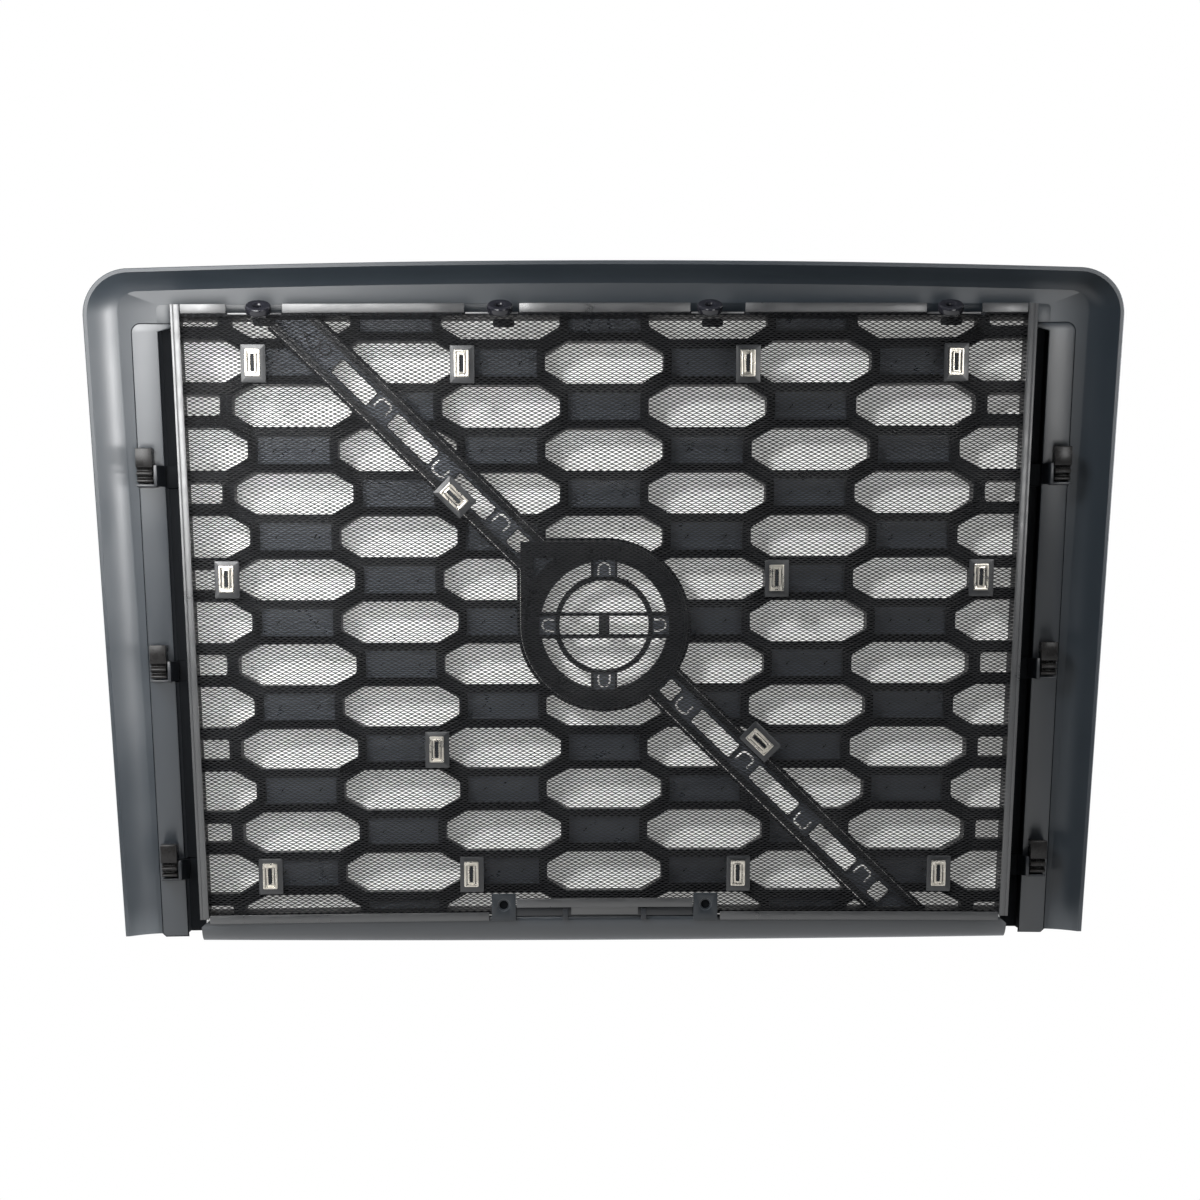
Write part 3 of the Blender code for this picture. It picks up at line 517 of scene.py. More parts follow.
def skinned(spots, filled):
    used = {}
    sides = {}
    for triangle, levels in filled.items():
        for i, spot in enumerate(triangle):
            used.setdefault(spot, set()).update(levels[:2])
            sides.setdefault(frozenset((triangle[i - 1], spot)), []).append(levels)
    work = bmesh.new()
    made = {}

    def corner(spot, level):
        key = (spot, round(level / LEVEL_STEP))
        if key not in made:
            made[key] = work.verts.new((spots[spot].x, level, spots[spot].y))
        return made[key]

    for triangle, (rear, front, look) in filled.items():
        work.faces.new([corner(spot, rear) for spot in triangle]).material_index = look
        work.faces.new([corner(spot, front) for spot in reversed(triangle)])
    for side, levels in sides.items():
        first, second = (levels + [None])[:2]
        start, end = side
        for low, high in open_spans(first, second) + open_spans(second, first):
            rising = [corner(start, level) for level in sorted(used[start]) if low <= level <= high]
            falling = [corner(end, level) for level in sorted(used[end]) if low <= level <= high]
            work.faces.new(rising + falling[::-1])
    return work


def planned(rules):
    """A terrace over every outline that the rules name."""
    return terrace([outline for outline, _ in rules], ruled(rules))


def plate(outline, levels, holes=()):
    return planned([(hole, None) for hole in holes] + [(outline, levels)])


def lofted(rings, closed_ends=True, dark=()):
    """Rings joined in order. The bands that end at the points listed in dark take the second material."""
    work = bmesh.new()
    made = [[work.verts.new(point) for point in ring] for ring in rings]
    for ring, following in zip(made, made[1:]):
        for i in range(len(ring)):
            face = work.faces.new((ring[i - 1], ring[i], following[i], following[i - 1]))
            face.material_index = 1 if i in dark else 0
    if closed_ends:
        work.faces.new(made[0])
        work.faces.new(made[-1])
    return work


def extruded(section, low, high):
    return lofted([[(x, depth, z) for depth, z in section] for x in (low, high)])


def block(low, high):
    section = ((low[1], low[2]), (high[1], low[2]), (high[1], high[2]), (low[1], high[2]))
    return extruded(section, low[0], high[0])


def merged(parts):
    """Several bmeshes as one, each left as its own closed shell."""
    whole = bmesh.new()
    for part in parts:
        mesh = bpy.data.meshes.new("shape")
        part.to_mesh(mesh)
        part.free()
        whole.from_mesh(mesh)
        bpy.data.meshes.remove(mesh)
    return whole


# ---- materials ----
def fill(made, **values):
    """Sets a node's inputs and settings by name, with _ for a space. A value that is a socket is linked."""
    for key, value in values.items():
        spaced = key.replace("_", " ")
        if isinstance(value, bpy.types.NodeSocket):
            made.id_data.links.new(value, made.inputs[spaced])
        elif spaced in made.inputs:
            made.inputs[spaced].default_value = value
        else:
            setattr(made, key, value)
    return made


def node(tree, kind, **values):
    return fill(tree.nodes.new(f"ShaderNode{kind}"), **values)


def mapped(tree, value, low, high, to_low=0.0, to_high=1.0):
    """A socket's values from low to high, carried to another range."""
    span = node(tree, "MapRange", Value=value, From_Min=low, From_Max=high, To_Min=to_low, To_Max=to_high)
    return span.outputs["Result"]


def mixed(tree, factor, first, second):
    """A mix of two colours by a socket. The first may be a socket itself."""
    first = (*first, 1.0) if isinstance(first, tuple) else first
    mix = node(tree, "Mix", data_type="RGBA", Factor=factor, A=first, B=(*second, 1.0))
    return mix.outputs["Result"]


def shaded(name, **values):
    """A new material, its node tree and its shader, with the shader's inputs set by name."""
    made = bpy.data.materials.new(name)
    made.use_nodes = True
    return made, made.node_tree, fill(made.node_tree.nodes["Principled BSDF"], **values)


def surface(name, colour, second, rough, metallic=0.0, patch=14.0, grain=900.0, bump=0.00006, wear=None,
            spread=0.1, specular=0.5):
    """A moulded, coated or plated surface: patchy colour, uneven gloss, fine grain and paler worn edges."""
    made, tree, shader = shaded(name, Metallic=metallic, Specular_IOR_Level=specular)
    at = node(tree, "TexCoord").outputs["Object"]
    large = node(tree, "TexNoise", Vector=at, Scale=patch, Detail=5.0, Roughness=0.6).outputs["Fac"]
    small = node(tree, "TexNoise", Vector=at, Scale=grain, Detail=3.0, Roughness=0.55).outputs["Fac"]
    tone = mixed(tree, large, colour, second)
    if wear:
        shape = node(tree, "NewGeometry")
        tone = mixed(tree, mapped(tree, shape.outputs["Pointiness"], *WEAR_RANGE), tone, wear)
    gloss = mapped(tree, large, 0.3, 0.7, max(0.03, rough - spread), rough + spread)
    relief = node(tree, "Bump", Strength=0.6, Distance=bump, Height=small)
    fill(shader, Base_Color=tone, Roughness=gloss, Normal=relief.outputs["Normal"])
    return made


SHELL = surface(
    "shell_plastic", (0.0072, 0.0094, 0.0118), (0.0102, 0.0128, 0.0156), 0.37, patch=9.0, spread=0.05,
    wear=(0.05, 0.055, 0.06), specular=0.47,
)
LEG = surface(
    "leg_plastic", (0.01, 0.0128, 0.0162), (0.014, 0.0172, 0.021), 0.36, patch=9.0, spread=0.05,
    wear=(0.05, 0.055, 0.06), specular=0.8,
)
# Painted shade: a near-black matt material standing in for the shade in the deep channel round the insert, in
# the groove line round each clip strip, on the channel bridges and behind the screw-tab holes.
SHADE_BLACK = surface(
    "painted_shade_black", (0.0022, 0.0026, 0.0032), (0.004, 0.0046, 0.0055), 0.7, patch=30.0, specular=0.05,
)
INSERT = surface(
    "insert_plastic", (0.0012, 0.0015, 0.0019), (0.0024, 0.0028, 0.0034), 0.42, patch=22.0,
    specular=0.1, wear=(0.012, 0.013, 0.015),
)
# Painted light: the webs between the cells are the same black moulding as the rest of the insert, given a
# lighter blue-grey for the light they catch.
WEB_LIT = surface("web_plastic_lit", (0.076, 0.086, 0.102), (0.11, 0.124, 0.147), 0.46, patch=30.0)
# Painted highlight: pale grey on the thin ribs at the ends of the insert's pockets and on a ridge across the
# carrier's band, standing in for light on their edges.
EDGE_HIGHLIGHT = surface("painted_edge_highlight", (0.16, 0.17, 0.19), (0.22, 0.23, 0.25), 0.45, patch=50.0)
CARRIER = surface(
    "carrier_plastic", (0.0045, 0.0052, 0.0065), (0.0075, 0.0085, 0.0105), 0.36, patch=25.0,
    wear=(0.015, 0.017, 0.02),
)
# Painted light: the carrier's floors, tongues and badge seat are the same dark moulding as the rest of it,
# given a lighter blue-grey for the light they catch.
CARRIER_FLOOR_LIT = surface("carrier_floor_lit", (0.105, 0.116, 0.136), (0.14, 0.154, 0.178), 0.5, patch=40.0)
SCREEN = surface(
    "screen_coating", (0.013, 0.0133, 0.0142), (0.02, 0.0205, 0.0215), 0.34, patch=35.0, grain=2400.0,
)
STRIP = surface(
    "strip_coating", (0.017, 0.0172, 0.0177), (0.025, 0.0255, 0.0262), 0.36, patch=60.0, grain=1500.0,
    bump=0.0001, wear=(0.045, 0.046, 0.048), specular=0.95,
)
PAD = surface(
    "pad_grey", (0.006, 0.0065, 0.0074), (0.01, 0.0108, 0.012), 0.38, patch=50.0, grain=1500.0,
    wear=(0.024, 0.025, 0.027), specular=0.72,
)
NICKEL = surface(
    "nickel", (0.68, 0.65, 0.59), (0.48, 0.44, 0.37), 0.3, metallic=1.0, patch=160.0, grain=2600.0,
)
DARK_STEEL = surface(
    "clip_steel", (0.005, 0.0047, 0.0046), (0.0085, 0.008, 0.0078), 0.27, specular=0.24, patch=120.0,
    grain=1800.0, wear=(0.02, 0.019, 0.018),
)
BOSS = surface(
    "boss_gloss", (0.006, 0.006, 0.008), (0.01, 0.01, 0.013), 0.16, patch=90.0, wear=(0.06, 0.06, 0.07),
)


# ---- surround ----
def u_line(half_width, top, radius, taper, crown):
    start = half_width - radius
    leg_top = top - radius
    right = []
    for i in range(LEG_STEPS):
        z = LEG_FOOT + (leg_top - LEG_FOOT) * i / LEG_STEPS
        right.append((half_width - taper * (leg_top - z), z))
    for i in range(CORNER_STEPS + 1):
        turn = math.pi / 2 * i / CORNER_STEPS
        right.append((start + radius * math.cos(turn), leg_top + radius * math.sin(turn)))
    for i in range(1, TOP_STEPS + 1):
        x = start * (1 - i / TOP_STEPS)
        right.append((x, top + crown * (1 - (x / start) ** 2)))
    left = [(-x, z) for x, z in right]
    return left + right[-2::-1]


def cove_line(along, shift):
    swell = along + COVE_SWELL * math.sin(math.pi * along)
    return (
        HALF_WIDTH - LIP - COVE_WIDTH * along + shift,
        TOP - LIP - COVE_HEIGHT * along + shift,
        CORNER_RADIUS - LIP - COVE_RADIUS_DROP * along + shift,
        SIDE_TAPER,
        CROWN,
        LIP_DEPTH + (LAND_DEPTH - LIP_DEPTH) * swell + shift,
    )


def surround_lines():
    soft = EDGE_ROUND
    lip, lip_top, lip_in = (
        (HALF_WIDTH - by, TOP - by, CORNER_RADIUS - by, SIDE_TAPER, CROWN) for by in (0.0, soft, LIP - soft)
    )
    land, land_out, bead = (
        (LAND_HALF_WIDTH + by, LAND_TOP + by, LAND_RADIUS + by, LAND_TAPER, LAND_CROWN)
        for by in (0.0, soft, WALL)
    )
    shelf = (SHELF_HALF_WIDTH, SHELF_TOP, LAND_RADIUS / 2, INSERT_TAPER, LAND_CROWN)
    front = SHELF_DEPTH + WALL
    return (
        [(*lip, LIP_DEPTH + soft), (*lip_top, LIP_DEPTH), (*lip_in, LIP_DEPTH)]
        + [cove_line(i / COVE_STEPS, 0.0) for i in range(COVE_STEPS + 1)]
        + [(*land_out, LAND_DEPTH), (*land, LAND_DEPTH + soft), (*land, SHELF_DEPTH), (*shelf, SHELF_DEPTH)]
        + [(*shelf, front), (*bead, front), (*bead, LAND_DEPTH + WALL)]
        + [cove_line(i / COVE_STEPS, WALL) for i in range(COVE_STEPS, 0, -1)]
        + [(*lip, LIP_DEPTH + LIP_HEIGHT)]
    )


def make_surround():
    lines = [(u_line(*line), depth) for *line, depth in surround_lines()]
    rings = [[(line[i][0], depth, line[i][1]) for line, depth in lines] for i in range(len(lines[0][0]))]
    lip_lines, cove_lines, land_lines = 3, COVE_STEPS + 1, 2
    wall = lip_lines + cove_lines + land_lines
    # The wall and floor of the channel beside the land take the painted-shade black.
    work = lofted(rings, dark=(wall, wall + 1))
    shell = add_piece(
        "surround_shell", work, [SHELL, SHADE_BLACK], ["surround_bezel"], flat=False, angle=24,
    )
    ledge = crowned_strip(-INSERT_HALF_WIDTH - 0.001, INSERT_HALF_WIDTH + 0.001, LEDGE_HEIGHTS)
    work = plate(ledge, (LAND_DEPTH + 0.0002, SHELF_DEPTH - 0.001, 0))
    add_piece("top_ledge", work, [SHELL], bevel=0.0004)
    return shell


def leg_x(half_width, z):
    return half_width - LAND_TAPER * (LAND_TOP - z)


def make_strip(side, name):
    """The raised strip down one leg, with the short arm that closes the channel's top."""
    foot, top, corner = STRIP_FOOT, STRIP_TOP, STRIP_CORNER
    outer = leg_x(STRIP_HALF_WIDTH, top)
    turns = [math.pi / 2 * i / STRIP_CORNER_STEPS for i in range(STRIP_CORNER_STEPS + 1)]
    arc = [(outer - corner * (1 - math.cos(a)), top - corner * (1 - math.sin(a))) for a in turns]
    foot_x = leg_x(STRIP_HALF_WIDTH, foot)
    outline = [
        (leg_x(LAND_HALF_WIDTH, foot) + STRIP_GAP, foot), (foot_x - STRIP_CHAMFER, foot),
        (foot_x, foot + STRIP_CHAMFER), *arc, (RAIL_HALF_WIDTH + ARM_REACH, top),
        (RAIL_HALF_WIDTH + ARM_REACH, CHANNEL_TOP + ARM_HEIGHT),
        (leg_x(LAND_HALF_WIDTH, CHANNEL_TOP) + STRIP_GAP, CHANNEL_TOP),
    ]
    flat = mirrored(outline, side)
    front = LAND_DEPTH + STRIP_SINK
    work = plate(flat, (LAND_DEPTH - STRIP_RISE, front, 0))
    add_piece(f"clip_strip_{name}", work, [LEG], bevel=0.00045)
    # Painted shade: a thin black sheet just proud of the land round the strip's edge, standing in for the
    # shade of a groove.
    outside, within = (grown(flat, by) for by in GROOVE_SHADE_EDGES)
    work = plate(outside, (LAND_DEPTH - GROOVE_SHADE_RISE, front, 0), [within])
    add_piece(f"strip_shade_line_{name}", work, [SHADE_BLACK])
    low = (SHELF_HALF_WIDTH + 0.0006, CHANNEL_TOP + ARM_HEIGHT)
    end = mirrored(rectangle(low, (LAND_HALF_WIDTH + 0.002, LAND_TOP + 0.003)), side)
    work = plate(end, (LAND_DEPTH + 0.00005, SHELF_DEPTH - 0.0005, 0))
    add_piece(f"channel_end_{name}", work, [SHELL], bevel=0.0004)


def make_bracket(side, x, z, name):
    """A clip's bracket: a cheek with a sloped root, a floor under the spring and a channel bridge."""
    face = x - CLIP_WIDTH / 2 - CHEEK_GAP
    back = face - CHEEK_THICKNESS
    root = LAND_DEPTH - STRIP_RISE
    section = (
        (face, CHEEK_REAR), (back, CHEEK_REAR), (back - 0.0015, CHEEK_REAR + 0.006), (back - 0.0065, root),
        (face, root),
    )
    cheek = lofted([[(side * a, depth, z + height) for a, depth in section] for height in CHEEK_HEIGHTS])
    foot = z + BRACKET_FOOT
    floor = block((side * (back + 0.001), CHEEK_REAR + 0.0012, foot),
                  (side * (x + CLIP_WIDTH / 2), root, foot + BRACKET_FLOOR))
    shelf = SHELF_HALF_WIDTH - INSERT_TAPER * (SHELF_TOP - z) + 0.0012
    ends = (leg_x(LAND_HALF_WIDTH, z) - 0.0002, shelf + 0.003)
    bridge = [
        block((side * shelf, rear, foot), (side * end, SHELF_DEPTH - 0.001, z + BRIDGE_TOP))
        for rear, end in zip(BRIDGE_REARS, ends)
    ]
    add_piece(f"clip_bracket_{name}", merged([cheek, floor]), [CARRIER], bevel=0.0005)
    # The bridges take the painted-shade black of the deep channel they cross.
    add_piece(f"channel_bridge_{name}", merged(bridge), [SHADE_BLACK], bevel=0.0005)


def make_clip(side, x, z, name):
    """A clip: a folded block above and an S-shaped spring tongue below, of one strip of steel."""
    centre = side * x
    band = ribbon(smooth_path(CLIP_TONGUE, CLIP_PATH_STEPS), CLIP_STEEL)
    shapes = []
    for section, half in ((CLIP_CAP, CLIP_WIDTH / 2), (band, CLIP_WIDTH / 2 * 0.94)):
        shapes.append(extruded([(d, z + h) for d, h in section], centre - half, centre + half))
    add_piece(f"spring_clip_{name}", merged(shapes), [DARK_STEEL], [f"side_clip_{name}"],
              bevel=0.0003, angle=40)


def smooth_path(points, steps):
    """A Catmull-Rom curve through the points."""
    fine = []
    count = len(points)
    for i in range(count - 1):
        a, b, c, d = (Vector(points[min(max(k, 0), count - 1)]) for k in (i - 1, i, i + 1, i + 2))
        for k in range(steps):
            t = k / steps
            spot = 2 * b + (c - a) * t + (2 * a - 5 * b + 4 * c - d) * t * t
            fine.append(0.5 * (spot + (3 * b - a - 3 * c + d) * t ** 3))
    fine.append(Vector(points[-1]))
    return fine


def ribbon(path, thickness):
    """The closed section of a strip of one thickness along a path."""
    sides = ([], [])
    for i, point in enumerate(path):
        along = (path[min(i + 1, len(path) - 1)] - path[max(i - 1, 0)]).normalized()
        across = Vector((-along.y, along.x)) * thickness / 2
        sides[0].append(tuple(point + across))
        sides[1].append(tuple(point - across))
    return sides[0] + sides[1][::-1]


# ---- honeycomb insert ----
def cell_outline(x, z):
    right = [
        (CELL_HALF_FLAT, -CELL_HALF_HEIGHT), (CELL_HALF_LENGTH, -CELL_HALF_SIDE),
        (CELL_HALF_LENGTH, CELL_HALF_SIDE), (CELL_HALF_FLAT, CELL_HALF_HEIGHT),
    ]
    left = [(-a, -b) for a, b in right]
    return [Vector((x + a, z + b)) for a, b in right + left]


def openings():
    found = []
    for row in range(-MOST_ROW, MOST_ROW + 1):
        z = ROW_ZERO + row * ROW_PITCH
        columns = (-1.5, -0.5, 0.5, 1.5) if row % 2 else (-2, -1, 0, 1, 2)
        found += [cell_outline(column * CELL_PITCH, z) for column in columns]
        if row % 2:
            found += [box_at((side * SIDE_WINDOW_CENTRE, z), SIDE_WINDOW_SIZE) for side in (-1, 1)]
    return found


def along_band(points):
    """Points given along and across the carrier's band, as points of the flat drawing."""
    along = Vector((math.cos(BAND_ANGLE), math.sin(BAND_ANGLE)))
    across = Vector((-along.y, along.x))
    return [along * a + across * b for a, b in points]


def band_outline(half_width, start=-BAND_LENGTH, end=BAND_LENGTH, middle=0.0):
    low, high = middle - half_width, middle + half_width
    return along_band(((start, low), (end, low), (end, high), (start, high)))


def insert_bay(inset):
    return grown(tapered(INSERT_HALF_WIDTH, INSERT_TOP, INSERT_FOOT), -inset)


def corner_pad(by):
    """The square corner of the badge seat, up and to the left of its ring."""
    return rectangle((-RING_RADIUS - by, 0.0), (0.0, RING_RADIUS + by))


def pocket_centres():
    """The webs' pockets, one between each two neighbouring cells of a row."""
    found = []
    for row in range(-MOST_ROW, MOST_ROW + 1):
        z = ROW_ZERO + row * ROW_PITCH
        columns = (-1, 0, 1) if row % 2 else (-1.5, -0.5, 0.5, 1.5)
        found += [(column * CELL_PITCH, z) for column in columns]
    return found


def make_insert():
    flange, wall, bay = insert_bay(-FLANGE_WIDTH), insert_bay(0.0), insert_bay(INSERT_WALL)
    slots = [
        band_outline(BAND_HALF_WIDTH + SLOT_CLEARANCE), disc(RING_RADIUS + SLOT_CLEARANCE),
        corner_pad(SLOT_CLEARANCE),
    ]
    sharp = openings()
    cells = [rounded(cell, CELL_ROUND, 3) for cell in sharp]
    plain = [blade for blade in BLADES if blade is not CARRIER_BLADE]
    bosses = [(side * x, crowned(x, INSERT_TOP)) for x in BOSS_CENTRES for side in (-1, 1)]
    lugs = [box_at((x, top - LUG_SINK), LUG_SIZE) for x, top in bosses]
    eyes = [box_at((x + LUG_EYE_SHIFT, LUG_EYE_HEIGHT), LUG_EYE_SIZE) for x, _ in bosses]
    rules = [(rounded(eye, LUG_EYE_ROUND, 5), LUG_EYE_LEVELS) for eye in eyes]
    rules += [(slot, None) for slot in slots]
    rules += [(box_at(blade[:2], BLADE_SIZE, blade[2]), BLADE_LEVELS) for blade in plain]
    rules += [(box_at(blade[:2], PEDESTAL_SIZE, blade[2]), PEDESTAL_LEVELS) for blade in plain]
    rules += [(grown(slot, SLOT_RIM), SLOT_RIM_LEVELS) for slot in slots]
    rules += [(cell, None) for cell in cells]
    rules += [(grown(cell, CELL_WALL), CELL_WALL_LEVELS) for cell in cells]
    rules += [(rounded(grown(cell, RIM_WIDTH), RIM_ROUND, 3), RIM_LEVELS) for cell in sharp]
    for x, z in pocket_centres():
        for side in (-1, 1):
            end = box_at((x + side * POCKET_SIZE[0] / 2, z), (POCKET_LINE, POCKET_SIZE[1]))
            rules.append((end, POCKET_LEVELS))
            tick = box_at((x + side * TICK_REACH, z), (POCKET_LINE, TICK_LENGTH), -math.pi / 4)
            rules.append((tick, TICK_LEVELS))
    rules.append((bay, WEB_LEVELS))
    in_bay = ruled(rules)
    edge = ruled([(lug, LUG_LEVELS) for lug in lugs] + [(wall, WALL_LEVELS), (flange, FLANGE_LEVELS)])

    def levels_at(x, z):
        return in_bay(x, z) if inside(bay, x, z) else edge(x, z)

    work = terrace([outline for outline, _ in rules] + lugs + [wall, flange], levels_at)
    # The webs take the painted-light blue-grey, and the ribs at the pocket ends take the painted highlight.
    add_piece("honeycomb", work, [INSERT, WEB_LIT, EDGE_HIGHLIGHT], ["honeycomb_insert"],
              bevel=0.0005, steps=1, spacing=0.06)


# ---- badge carrier ----
def u_slot(length, width, cut, steps=10):
    """A U-shaped slot round a tongue: its arch at high a, its legs running back to a = 0."""
    outer, inner = width / 2, width / 2 - cut
    bend = length - outer
    turns = [math.pi * i / steps for i in range(steps + 1)]
    arch = [(bend + outer * math.sin(t), -outer * math.cos(t)) for t in turns]
    back = [(bend + inner * math.sin(t), inner * math.cos(t)) for t in turns]
    return [(0.0, -outer)] + arch + [(0.0, outer), (0.0, inner)] + back + [(0.0, -inner)]


def snap_slot(centre, side):
    """The slot round one of the channel's snap tongues, arched towards one side of the band."""
    half, cut, corner = SNAP_HALF_WIDTH, SNAP_CUT, SNAP_CORNER
    back, front = SNAP_SPAN
    ease = cut * 0.4
    outer = [
        (-half, back), (-half, front - corner), (-half + corner, front), (half - corner, front),
        (half, front - corner), (half, back),
    ]
    inner = [
        (half - cut, back), (half - cut, front - corner - ease), (half - corner - ease, front - cut),
        (-half + corner + ease, front - cut), (-half + cut, front - corner - ease), (-half + cut, back),
    ]
    return along_band([(centre + a, side * b) for a, b in outer + inner])


def ring_rules():
    """The ring with its bars and stub, and the four sockets between the two rings."""
    stub = box_at((0.0, 0.0), (2 * STUB_HALF_WIDTH, 2 * BAR_HEIGHT))
    rules = [(stub, CARRIER_LEVELS)]
    for side in (-1, 1):
        bar = box_at((0.0, side * BAR_HEIGHT), (2 * RING_BORE + 0.004, 2 * BAR_HALF_THICKNESS))
        rules.append((bar, CARRIER_LEVELS))
    quarters = [Matrix.Rotation(math.pi / 2 * turn, 2) for turn in range(4)]
    for spin in quarters:
        slot = [spin @ Vector((SOCKET_RADIUS - 0.0075 + a, b)) for a, b in u_slot(*SOCKET_SLOT)]
        rules.append((slot, None))
    reach, half, end = SOCKET_WALL_REACH, SOCKET_WALL_HALF, RING_BORE + 0.001
    for spin in quarters:
        for side in (-1, 1):
            wall = rectangle((SOCKET_RADIUS - 0.0095, side * reach - half), (end, side * reach + half))
            rules.append(([spin @ p for p in wall], CARRIER_LEVELS))
        socket = rectangle((SOCKET_RADIUS - 0.009, -SOCKET_WIDTH / 2), (end, SOCKET_WIDTH / 2))
        rules.append(([spin @ p for p in socket], TONGUE_LEVELS))
    rules += [
        (disc(INNER_RING_BORE), None), (disc(INNER_RING_RADIUS), FACE_LEVELS), (disc(RING_BORE), None),
        (disc(RING_BORE + 0.0026), CARRIER_LEVELS), (disc(RING_RADIUS - SLOT_RIM), FACE_LEVELS),
        (disc(RING_RADIUS), RIB_LEVELS),
    ]
    pad = rectangle(SEAT_LOW, SEAT_HIGH)
    rules += [(pad, SEAT_LEVELS), (grown(pad, 0.0012), CARRIER_LEVELS), (corner_pad(0.0), (-0.012, 0.0, 0))]
    return rules


def band_rules():
    """The band's snap slots and windows, its eye and wedge at the upper end, and its floor and ribs."""
    spans = [(-far, -near) for near, far in UPPER_WINDOWS] + list(LOWER_WINDOWS)
    snaps = [(-centre, side) for centre, side in UPPER_SOCKETS] + list(LOWER_SOCKETS)
    rules = [(snap_slot(centre, side), None) for centre, side in snaps]
    for low, high in spans:
        window = rounded(band_outline(WINDOW_HALF_WIDTH, low, high), WINDOW_ROUND, 3)
        rules += [(window, None), (grown(window, WINDOW_RIM), WINDOW_RIM_LEVELS)]
    eye = along_band([(EYE_REACH, 0.003)])[0]
    rules += [(disc(EYE_RADIUS, 24, eye), FLOOR_LEVELS), (disc(EYE_RIM, 24, eye), SILL_LEVELS)]
    wedge = along_band(WEDGE)
    rules += [(wedge, FLOOR_LEVELS), (grown(wedge, WEDGE_RIM), SILL_LEVELS)]
    rules.append((band_outline(BAND_HALF_WIDTH - RIB_WIDTH), FLOOR_LEVELS))
    thick = RIB_HALF_THICKNESS
    for side in (-1, 1):
        rules.append((band_outline(thick, middle=side * (BAND_HALF_WIDTH - thick)), RIB_LEVELS))
        rules.append((band_outline(thick, middle=side * (BAND_HALF_WIDTH - RIB_WIDTH + thick)), RIB_LEVELS))
    rules.append((band_outline(BAND_HALF_WIDTH), FACE_LEVELS))
    return rules


def make_carrier():
    blade = box_at(CARRIER_BLADE[:2], BLADE_SIZE, CARRIER_BLADE[2])
    ridge = band_outline(0.014, 0.0785, 0.0797)
    rules = ring_rules() + [(blade, (BLADE_LEVELS[0], 0.0, 0)), (ridge, (-0.0165, 0.0, 2))] + band_rules()
    at = ruled(rules)
    bay = insert_bay(INSERT_WALL + SLOT_CLEARANCE)

    def levels_at(x, z):
        return at(x, z) if inside(bay, x, z) else None

    work = terrace([outline for outline, _ in rules] + [bay], levels_at)
    # Its floors, tongues and seat take the painted-light blue-grey.
    add_piece("carrier", work, [CARRIER, CARRIER_FLOOR_LIT, EDGE_HIGHLIGHT], ["badge_carrier"],
              bevel=0.0004, steps=1, spacing=0.06)


# ---- bug screen ----
def make_screen():
    """Expanded metal: zigzag strands, each meeting its neighbours at every other bend, in a few sheets."""
    count = round((SCREEN_TOP - SCREEN_FOOT) / STRAND_SPACING)
    bends = 2 * round(SCREEN_HALF_WIDTH / STRAND_REACH)
    across = np.linspace(-1.0, 1.0, bends + 1)
    foot_half = SCREEN_HALF_WIDTH - INSERT_TAPER * (SCREEN_TOP - SCREEN_FOOT)
    corners = len(STRAND_SECTION)
    length = corners * (bends + 1)
    share = count // SCREEN_PARTS + 1
    for part in range(SCREEN_PARTS):
        verts, faces, ends = [], [], []
        for strand in range(part * share, min(count, (part + 1) * share)):
            height = (strand + 0.5) / count
            x = across * (foot_half + (SCREEN_HALF_WIDTH - foot_half) * height)
            top = crowned(x, SCREEN_TOP)
            z = SCREEN_FOOT + (top - SCREEN_FOOT) * height
            z = z + STRAND_SWING * np.where((np.arange(bends + 1) + strand) % 2, 1.0, -1.0)
            rows = []
            for rise, depth in STRAND_SECTION:
                zz = z + rise * STRAND_WIDTH
                y = depth - zz * math.tan(LEAN) - x * x / (2 * BOW_RADIUS)
                rows.append(np.stack([x, y, zz], axis=1))
            first = len(verts) * length
            last = first + corners * bends
            verts.append(np.stack(rows, axis=1).reshape(-1, 3))
            base = first + corners * np.arange(bends)[:, None]
            for a, b in ((0, 1), (1, 2), (2, 0)):
                faces.append(base + np.array([a, b, b + corners, a + corners])[None, :])
            ends += [(first + 2, first + 1, first), (last, last + 1, last + 2)]
        mesh = bpy.data.meshes.new(f"screen_{part}")
        mesh.from_pydata(np.concatenate(verts).tolist(), [], np.concatenate(faces).tolist() + ends)
        mesh.update()
        names = ["bug_screen"] if part == 0 else []
        place(f"screen_mesh_{part + 1}", mesh, [SCREEN], names)


def crowned_strip(low, high, heights):
    count = max(1, round((high - low) / STRIP_STEP))
    across = [low + (high - low) * i / count for i in range(count + 1)]
    lower = [Vector((x, crowned(x, heights[0]))) for x in across]
    return lower + [Vector((x, crowned(x, heights[1]))) for x in reversed(across)]


def add_strip(name, work, nodes=(), bevel=0.0004):
    add_piece(name, work, [STRIP], nodes, bevel=bevel)


